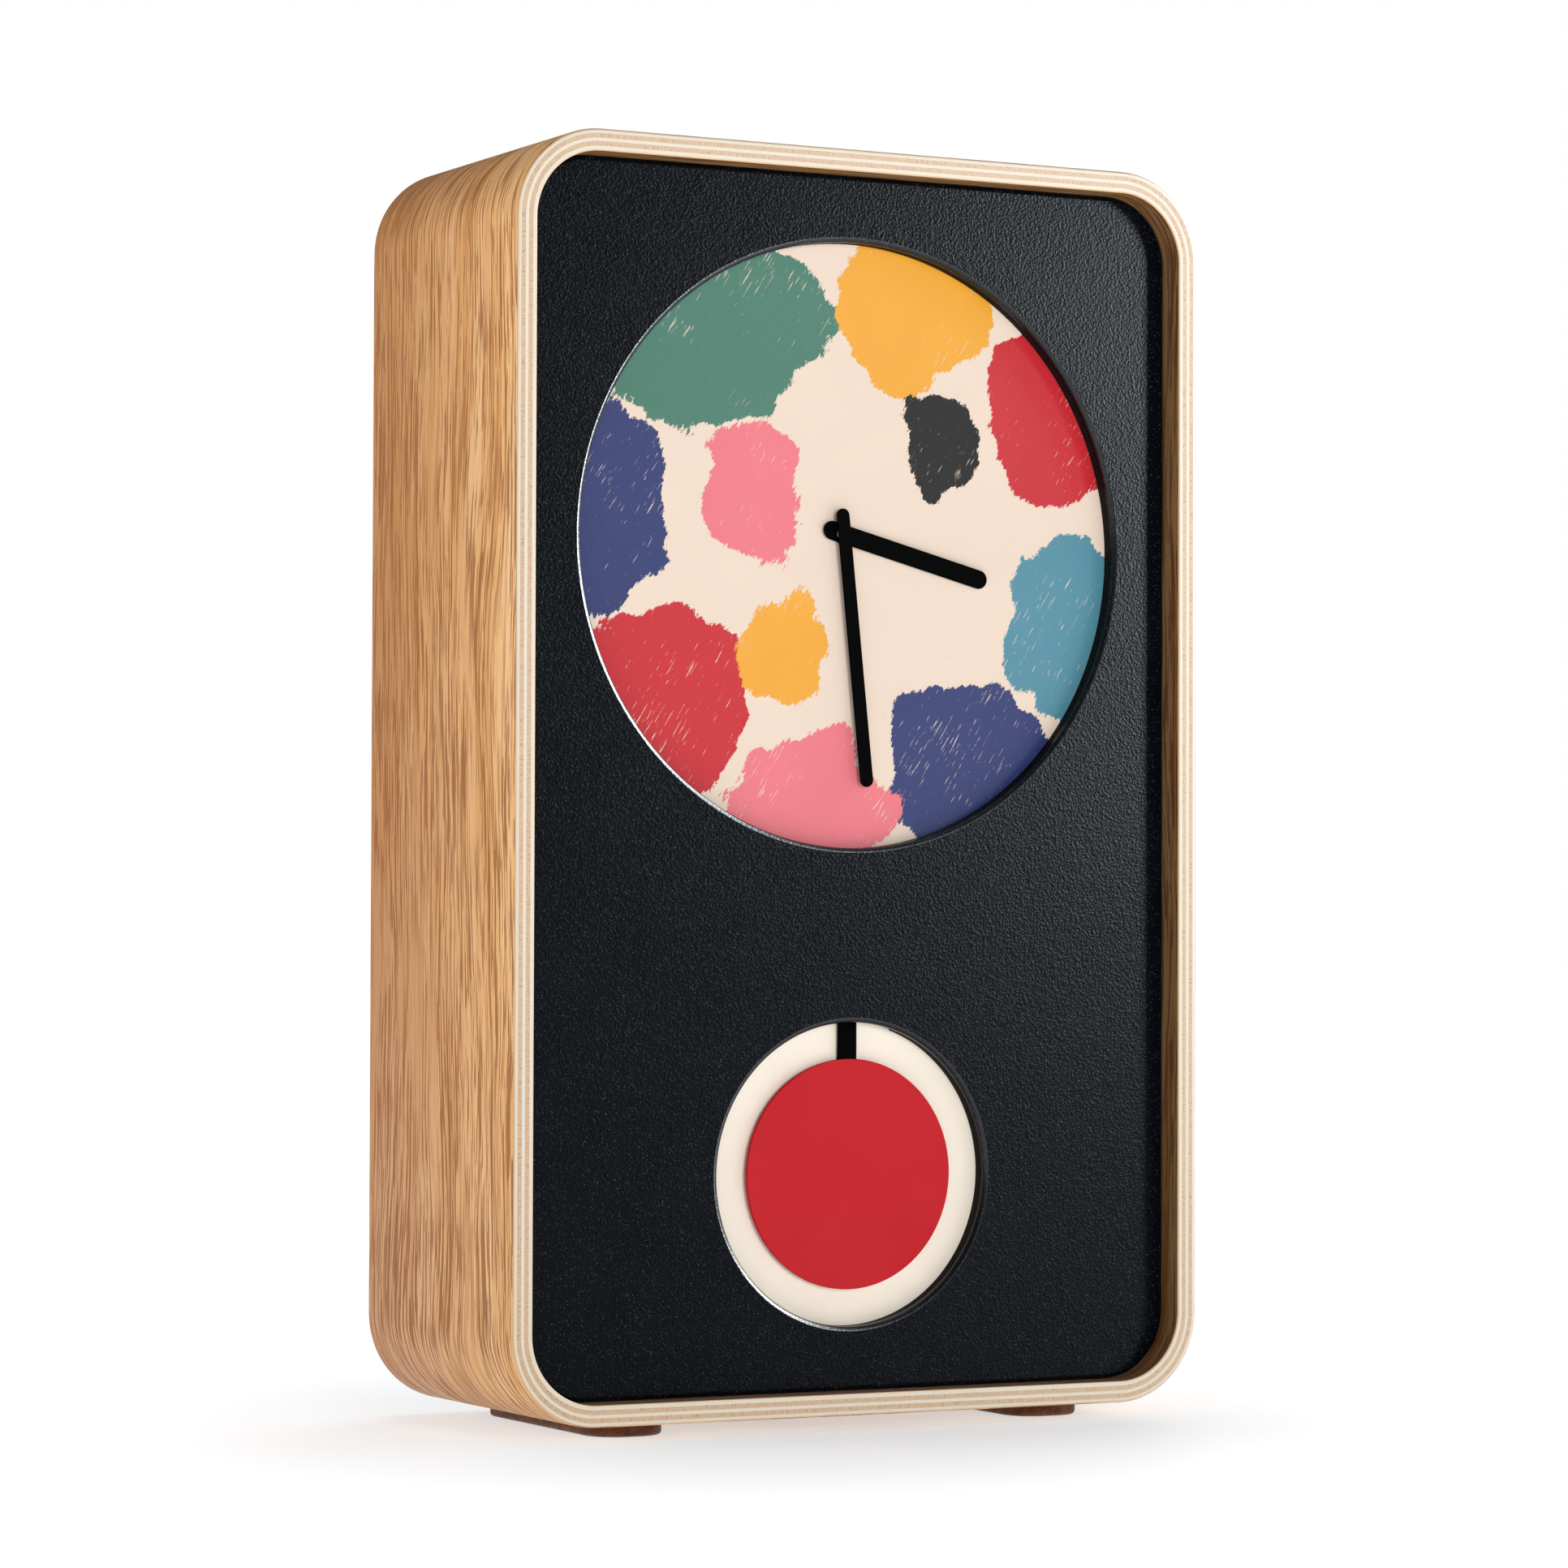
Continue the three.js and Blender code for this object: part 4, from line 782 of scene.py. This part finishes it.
def case_profile():
    """The wall's section as (through the wall, depth, zone), with eased arrises."""
    outer_ease, inner_ease = 0.7 * MM, 0.35 * MM
    front, back = case_lo.y, case_hi.y
    profile = []

    def ease(edge_t, inward, edge_y, sign, radius, order):
        points = []
        for i in range(5):
            angle = math.pi / 2 * i / 4
            t = edge_t + inward * radius * (1 - math.cos(angle))
            y = edge_y + sign * radius * (1 - math.sin(angle))
            points.append((t, y))
        return points if order > 0 else points[::-1]

    plies = [VENEER + (CASE_WALL - 2 * VENEER) * n / PLY_COUNT for n in range(PLY_COUNT + 1)]
    profile += ease(0, 1, front, 1, outer_ease, 1)
    profile += [(t, front) for t in plies if outer_ease < t < CASE_WALL - inner_ease]
    profile += ease(CASE_WALL, -1, front, 1, inner_ease, -1)
    profile += ease(CASE_WALL, -1, back, -1, inner_ease, 1)
    profile += [(t, back) for t in plies[::-1] if outer_ease < t < CASE_WALL - inner_ease]
    profile += ease(0, 1, back, -1, outer_ease, -1)
    return profile


def make_case():
    path, length = ring_path()
    profile = case_profile()
    count = len(profile)
    vertices, faces, face_looks = [], [], []
    for point, normal, _ in path:
        for t, y in profile:
            place = point - normal * t
            vertices.append((place.x, y, place.y))
    ring_uv, edge_uv = [], []
    for i in range(len(path)):
        after = (i + 1) % len(path)
        near = path[i][2]
        far = path[after][2] if after else length
        for j in range(count):
            k = (j + 1) % count
            faces.append((i * count + j, after * count + j, after * count + k, i * count + k))
            corners = ((near, profile[j]), (far, profile[j]), (far, profile[k]), (near, profile[k]))
            ring_uv += [(s, y) for s, (t, y) in corners]
            edge_uv += [(s, t) for s, (t, y) in corners]
            same_wall = abs(profile[j][0] - profile[k][0]) < VENEER * 0.5
            near_end = min(abs(profile[j][1] - case_lo.y), abs(profile[j][1] - case_hi.y))
            long_face = abs(profile[j][1] - profile[k][1]) > 10 * MM
            veneer_skin = long_face or (same_wall and near_end > 0.25 * MM)
            inside = profile[j][0] > CASE_WALL / 2
            face_looks.append((2 if inside else 0) if veneer_skin else 1)
    looks = ["oak_plywood", "ply_edge", "oak_inside_painted_shade"]
    case = add_object("case_ring", vertices, faces, looks, face_looks, 50)
    for name, values in ((RING_UV, ring_uv), (EDGE_UV, edge_uv)):
        layer = case.data.uv_layers.new(name=name)
        for loop, uv in zip(layer.data, values):
            loop.uv = uv
    stand_for(case, "case", "plywood_case")


# ---- Panel, prints and feet ----------------------------------------------------------


def make_front():
    width, height = panel_hi.x - panel_lo.x, panel_hi.z - panel_lo.z
    radius = CASE_RADIUS - CASE_WALL - PANEL_PLAY
    centre = (0, (panel_hi.z + panel_lo.z) / 2)
    outline = rounded_rectangle(width, height, radius, centre)
    holes = [circle(DIAL_RADIUS, DIAL_CENTRE, 192), circle(WINDOW_RADIUS, WINDOW_CENTRE, 144)]
    panel = plate(
        "front_panel_skin", outline, holes, panel_lo.y, panel_hi.y, 1.15 * MM, "panel_black", 8,
        back_bevel=0.03 * MM, rim_look="panel_rim",
    )
    stand_for(panel, "case", "front_panel")


def make_feet():
    for side in ("left", "right"):
        node = f"foot_pad_{side}"
        lo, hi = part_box(node)
        centre = ((lo.x + hi.x) / 2, (lo.y + hi.y) / 2)
        outline = rounded_rectangle(hi.x - lo.x, hi.y - lo.y, FOOT_CORNER, centre, 12)
        pad = plate(f"{node}_strip", outline, [], -hi.z, -lo.z, FOOT_EASE, "brown_felt", 6)
        for vertex in pad.data.vertices:
            x, y, z = vertex.co
            vertex.co = (x, z, -y)
        pad.data.flip_normals()
        stand_for(pad, "case", node)


# ---- Hands and pendulum --------------------------------------------------------------


def hand(name, node, body, reach, tail, width, clock_angle):
    """A flat, solid stick with round ends, drawn upright and turned about the hand axis."""
    lo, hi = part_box(node)
    length = reach + tail
    outline = rounded_rectangle(width, length, width / 2 - 1e-5, (0, reach - length / 2), 14)
    stick = plate(name, outline, [], lo.y, lo.y + HAND_THICKNESS, 0.12 * MM, "hand_black", 3)
    turn = math.radians(clock_angle)
    for vertex in stick.data.vertices:
        x, y, z = vertex.co
        vertex.co = (
            HAND_AXIS.x + x * math.cos(turn) + z * math.sin(turn),
            y,
            HAND_AXIS.z - x * math.sin(turn) + z * math.cos(turn),
        )
    stand_for(stick, body, node)


def make_hands():
    for name, body in (("minute", "minute_arbor_body"), ("hour", "hour_wheel_body")):
        hand(
            f"{name}_stick", f"{name}_hand", body,
            HAND_REACHES[name], HAND_TAILS[name], HAND_WIDTHS[name], HAND_ANGLES[name],
        )


def make_pendulum():
    radius = (bob_hi.x - bob_lo.x) / 2
    outline = circle(radius, WINDOW_CENTRE, 160)
    bob = plate("bob_disc", outline, [], bob_lo.y, bob_hi.y, 0.18 * MM, "bob_red")
    stand_for(bob, "pendulum_body", "pendulum_bob")


# ---- Behind the panel ----------------------------------------------------------------


def keyhole(radius, centre, channel_half, channel_top, steps=144):
    """A round window with a straight channel running up from it."""

    def outline(inset):
        inner, half = radius - inset, channel_half - inset
        mouth = math.degrees(math.asin(half / inner))
        round_part = arc(centre[0], centre[1], inner, 90 + mouth, 450 - mouth, steps)
        top = channel_top - inset
        return round_part + [(half, top), (-half, top)]

    return outline


def screw_places():
    places = []
    for number in range(1, SCREW_COUNT + 1):
        lo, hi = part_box(f"panel_screw_{number}")
        places.append(((lo.x + hi.x) / 2, (lo.z + hi.z) / 2))
    return places


def make_boards():
    lo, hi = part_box("panel_spacer_board")
    centre = (0, (hi.z + lo.z) / 2)
    radius = CASE_RADIUS - CASE_WALL - PANEL_PLAY
    outline = rounded_rectangle(hi.x - lo.x, hi.z - lo.z, radius, centre)
    channel = keyhole(WINDOW_RADIUS, WINDOW_CENTRE, CHANNEL_HALF_WIDTH, CHANNEL_TOP)
    holes = [circle(DIAL_RADIUS, DIAL_CENTRE, 192), channel]
    holes += [circle(SCREW_HOLE, place, 20) for place in screw_places()]
    board = plate("spacer_board", outline, holes, lo.y, hi.y, 0.03 * MM, "black_board", 2)
    stand_for(board, "case", "panel_spacer_board")

    size = dial_hi.x - dial_lo.x
    outline = rounded_rectangle(size, size, DIAL_CORNER, DIAL_CENTRE)
    hole = circle(ARBOR_HOLE, (HAND_AXIS.x, HAND_AXIS.z), 40)
    dial = plate(
        "dial_board", outline, [hole], dial_lo.y, dial_hi.y, 0.12 * MM, "grey_board", 2,
        "dial_print",
    )
    stand_for(dial, "case", "dial_plate")

    width, height = card_hi.x - card_lo.x, card_hi.z - card_lo.z
    outline = rounded_rectangle(width, height, CARD_CORNER, WINDOW_CENTRE)
    card = plate(
        "backdrop_card", outline, [], card_lo.y, card_hi.y, 0.1 * MM, "grey_board", 2, "cream_card"
    )
    stand_for(card, "case", "pendulum_backdrop")


def make_cleats():
    places = screw_places()
    for side in ("left", "right", "bottom", "top"):
        node = f"panel_cleat_{side}"
        lo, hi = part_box(node)
        centre = ((lo.x + hi.x) / 2, (lo.z + hi.z) / 2)
        outline = rounded_rectangle(hi.x - lo.x, hi.z - lo.z, 0.6 * MM, centre, 3)
        inside = [p for p in places if lo.x < p[0] < hi.x and lo.z < p[1] < hi.z]
        holes = [circle(SCREW_HOLE, place, 24) for place in inside]
        look = "pine" if side in ("left", "right") else "pine_cross"
        strip = plate(f"{node}_strip", outline, holes, lo.y, hi.y, 0.5 * MM, look, 3)
        stand_for(strip, "case", node)


def ringed(name, rings, looks, band_looks=None, smooth_angle=40):
    """A closed piece through equal rings of points. The first and last rings are capped."""
    count = len(rings[0])
    vertices = [point for ring in rings for point in ring]
    faces, face_looks = [], []
    for level in range(len(rings) - 1):
        near, far = level * count, (level + 1) * count
        for i in range(count):
            after = (i + 1) % count
            faces.append((near + i, near + after, far + after, far + i))
            face_looks.append(band_looks[level] if band_looks else 0)
    faces.append(tuple(range(count)))
    faces.append(tuple(range(len(vertices) - count, len(vertices))))
    face_looks += [band_looks[0], band_looks[-1]] if band_looks else [0, 0]
    thing = add_object(name, vertices, faces, looks, face_looks, smooth_angle)
    outward(thing.data)
    return thing


def outward(mesh):
    """Turns every face to point out of its closed piece."""
    form = bmesh.new()
    form.from_mesh(mesh)
    bmesh.ops.recalc_face_normals(form, faces=form.faces)
    form.to_mesh(mesh)
    form.free()


def cut(thing, tool):
    """Cuts the tool's shape out of a piece."""
    step = thing.modifiers.new("cut", "BOOLEAN")
    step.operation = "DIFFERENCE"
    step.solver = "EXACT"
    step.object = tool
    bpy.context.view_layer.update()
    evaluated = thing.evaluated_get(bpy.context.evaluated_depsgraph_get())
    shaped = bpy.data.meshes.new_from_object(evaluated)
    thing.modifiers.clear()
    old = thing.data
    thing.data = shaped
    bpy.data.meshes.remove(old)
    bpy.data.objects.remove(tool)
    thing.data.shade_smooth()
    thing.data.set_sharp_from_angle(angle=math.radians(30))


def cross_recess(centre, floor_depth, mouth_depth):
    """A tapered cross-shaped punch that stands out past a screw's head."""
    arm, half_width, floor_share = 1.7 * MM, 0.42 * MM, 0.55
    quarter = [(arm, -half_width), (arm, half_width), (half_width, half_width)]
    plus = []
    for turn in range(4):
        for x, z in quarter:
            for _ in range(turn):
                x, z = -z, x
            plus.append((x, z))
    rings = []
    for depth, share in ((floor_depth, floor_share), (mouth_depth, 1.0)):
        rings.append([(centre[0] + share * x, depth, centre[1] + share * z) for x, z in plus])
    return ringed("punch", rings, ["steel"])


def make_screws():
    """Round-headed screws, turned about the depth axis, with a cross recess in each head."""
    tip_radius, tip_length, crown_edge, crown_middle = 0.2 * MM, 2 * MM, 0.35 * MM, 0.3 * MM
    head_height, head_ease, crown_steps, crown_fullness = 1.7 * MM, 0.15 * MM, 8, 0.75
    for number, centre in enumerate(screw_places(), 1):
        node = f"panel_screw_{number}"
        lo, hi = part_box(node)
        head = (hi.x - lo.x) / 2
        seat = hi.y - head_height
        profile = [(lo.y, tip_radius), (lo.y + tip_length, SCREW_SHANK), (seat, SCREW_SHANK)]
        profile += [(seat, head - head_ease), (seat + head_ease, head)]
        crown = head_height - crown_edge
        for i in range(crown_steps + 1):
            angle = math.pi / 2 * i / crown_steps
            radius = crown_middle + (head - crown_middle) * math.cos(angle) ** crown_fullness
            profile.append((seat + crown_edge + crown * math.sin(angle), radius))
        rings = []
        for depth, radius in profile:
            ring = arc(centre[0], centre[1], radius, 0, 360, 40)[:-1]
            rings.append([(x, depth, z) for x, z in ring])
        screw = ringed(f"{node}_cross_head", rings, ["steel"])
        cut(screw, cross_recess(centre, hi.y - 1.1 * MM, hi.y + 0.3 * MM))
        stand_for(screw, "case", node)


def softened(node, body, slot, width, segments=2, look=None, angle=25):
    """A copy of a CAD node's shape with its sharp arrises rounded."""
    source = NODES[node]
    mesh = source.data.copy()
    form = bmesh.new()
    form.from_mesh(mesh)
    bmesh.ops.remove_doubles(form, verts=form.verts, dist=0.002 * MM)
    bmesh.ops.dissolve_limit(
        form, angle_limit=math.radians(1), verts=form.verts, edges=form.edges
    )
    sharp = [
        e for e in form.edges
        if len(e.link_faces) == 2 and e.calc_face_angle() > math.radians(angle)
    ]
    bmesh.ops.bevel(
        form, geom=sharp, offset=width, segments=segments, profile=0.5, affect="EDGES",
        clamp_overlap=True,
    )
    bmesh.ops.triangulate(form, faces=[f for f in form.faces if len(f.verts) > 4])
    form.to_mesh(mesh)
    form.free()
    mesh.materials.clear()
    mesh.materials.append(LOOKS[look or slot])
    mesh.shade_smooth()
    mesh.set_sharp_from_angle(angle=math.radians(32))
    piece = bpy.data.objects.new(f"{node}_shape", mesh)
    scene.collection.objects.link(piece)
    stand_for(piece, body, node)
    return piece


def make_movement():
    softened("movement_housing", "case", "housing_plastic", 0.35 * MM)
    softened("movement_rear_cover", "case", "housing_plastic", 0.25 * MM)
    softened("battery_contact_plus", "case", "steel", 0.06 * MM)
    softened("battery_contact_minus", "case", "steel", 0.06 * MM)
    softened("pendulum_pivot_pin", "case", "steel", 0.1 * MM)
    softened("pendulum_hanger", "pendulum_body", "acetal", 0.25 * MM)
    softened("pendulum_magnet", "pendulum_body", "magnet", 0.12 * MM)
    pad = softened("movement_foam_pad", "case", "foam", 0.15 * MM)


def make_knob():
    """The setting knob: a disc with a fluted rim and a dished face, on a plain shaft.

    The CAD node's pinion, inside the housing, isn't modelled here.
    """
    flute_count, flute_depth, steps_per_flute = 36, 0.18, 6
    lo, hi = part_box("setting_knob")
    centre = (SETTING_AXIS.x, SETTING_AXIS.z)
    radius = (hi.x - lo.x) / 2
    face_front = hi.y - 4.2 * MM
    # Depth, radius in millimetres, and how strongly the flutes show.
    profile = [
        (lo.y + 0.1 * MM, 1.2, 0), (face_front, 1.2, 0), (face_front, 5.6, 0),
        (face_front + 0.5 * MM, 6.6, 1), (hi.y - 0.6 * MM, 6.6, 1), (hi.y - 0.15 * MM, 6.2, 0.3),
        (hi.y, 5.8, 0), (hi.y - 0.1 * MM, 5.2, 0), (hi.y - 0.7 * MM, 4.4, 0),
        (hi.y - 0.8 * MM, 2.0, 0), (hi.y - 0.8 * MM, 0.2, 0),
    ]
    steps = flute_count * steps_per_flute
    rings = []
    for depth, ring_radius, fluted in profile:
        ring = []
        for i in range(steps):
            angle = 2 * math.pi * i / steps
            ripple = flute_depth * fluted * math.cos(flute_count * angle)
            reach = min((ring_radius + ripple) * MM, radius)
            x, z = centre[0] + reach * math.cos(angle), centre[1] + reach * math.sin(angle)
            ring.append((x, depth, z))
        rings.append(ring)
    knob = ringed("setting_knob_fluted", rings, ["nylon"])
    stand_for(knob, "setting_knob_body", "setting_knob")


# Distance along the cell from its minus end and radius, in millimetres, and whether that
# point is bare steel: the minus end, the wrapper's shrunk edge, and the plus button.
CELL_MINUS_END = [(0, 4.4, 1), (0.12, 5.0, 1), (0.3, 5.6, 0), (0.1, 6.2, 0)]
CELL_SHOULDER = [
    (0.1 + 0.6 * (1 - math.cos(angle)), 6.5 + 0.65 * math.sin(angle), 0)
    for angle in (0.4, 0.8, 1.2, 1.57)
]
CELL_PLUS_END = [
    (48.2, 7.15, 0), (48.55, 6.95, 0), (48.75, 6.5, 0), (48.75, 5.6, 0), (48.5, 5.2, 1),
    (48.5, 2.9, 1), (48.7, 2.7, 1), (49.75, 2.6, 1), (49.95, 2.4, 1), (50.0, 2.0, 1),
]


def make_battery():
    """An AA cell: a wrapped can with shrunk ends, a bare plus button and a bare minus end."""
    steps = 64
    lo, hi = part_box("battery_cell")
    radius = (hi.z - lo.z) / 2
    centre_y, centre_z = (lo.y + hi.y) / 2, (lo.z + hi.z) / 2
    profile = CELL_MINUS_END + CELL_SHOULDER + CELL_PLUS_END
    rings = []
    for along, ring_radius, _ in profile:
        ring = arc(centre_y, centre_z, min(ring_radius * MM, radius), 0, 360, steps)[:-1]
        rings.append([(lo.x + along * MM, y, z) for y, z in ring])
    bare = [1 if near[2] or far[2] else 0 for near, far in zip(profile, profile[1:])]
    cell = ringed("battery_cell_wrapped", rings, ["cell_jacket", "steel"], bare)
    stand_for(cell, "battery_body", "battery_cell")


def make_rod():
    """The pendulum's strip: it hangs behind the boards and steps forward to the bob."""
    half, half_width, edge_radius = 0.3 * MM, (rod_hi.x - rod_lo.x) / 2, 0.14 * MM
    step_top, step_bottom, bend_reach = 130 * MM, 108 * MM, 9 * MM
    back, near = rod_hi.y - half, rod_lo.y + half
    corners = [(back, rod_hi.z), (back, step_top), (near, step_bottom), (near, rod_lo.z)]
    line = bent_line([Vector(corner) for corner in corners], bend_reach, 10)
    section = rounded_rectangle(2 * half_width, 2 * half, edge_radius, steps=3)(0)
    rings = []
    for i, point in enumerate(line):
        before, after = line[max(i - 1, 0)], line[min(i + 1, len(line) - 1)]
        forward = (after - before).normalized()
        sideways = Vector((forward.y, -forward.x))
        places = [(x, point + sideways * offset) for x, offset in section]
        rings.append([(x, place.x, place.y) for x, place in places])
    rod = ringed("pendulum_strip", rings, ["hand_black"])
    stand_for(rod, "pendulum_body", "pendulum_rod")


def bent_line(corners, radius, steps):
    """A line through its corners, each corner rounded by a quadratic curve of that reach."""
    line = [corners[0]]
    for before, corner, after in zip(corners, corners[1:], corners[2:]):
        start = corner + (before - corner).normalized() * radius
        end = corner + (after - corner).normalized() * radius
        for i in range(steps + 1):
            t = i / steps
            line.append(start * (1 - t) ** 2 + corner * 2 * t * (1 - t) + end * t**2)
    return line + [corners[-1]]


# ---- Looks for the CAD nodes that stay -----------------------------------------------


def dress_nodes():
    slots = {row["node"]: row["material_slot"] for row in frame["record"]["subparts"]}
    for name, thing in NODES.items():
        look = LOOKS[slots[name]]
        if name in ("panel_cleat_top", "panel_cleat_bottom"):
            look = LOOKS["pine_cross"]
        thing.data.materials.clear()
        thing.data.materials.append(look)


make_camera()
make_studio()
make_floor()
dress_nodes()
make_case()
make_front()
make_feet()
make_hands()
make_pendulum()
make_rod()
make_boards()
make_cleats()
make_screws()
make_movement()
make_knob()
make_battery()
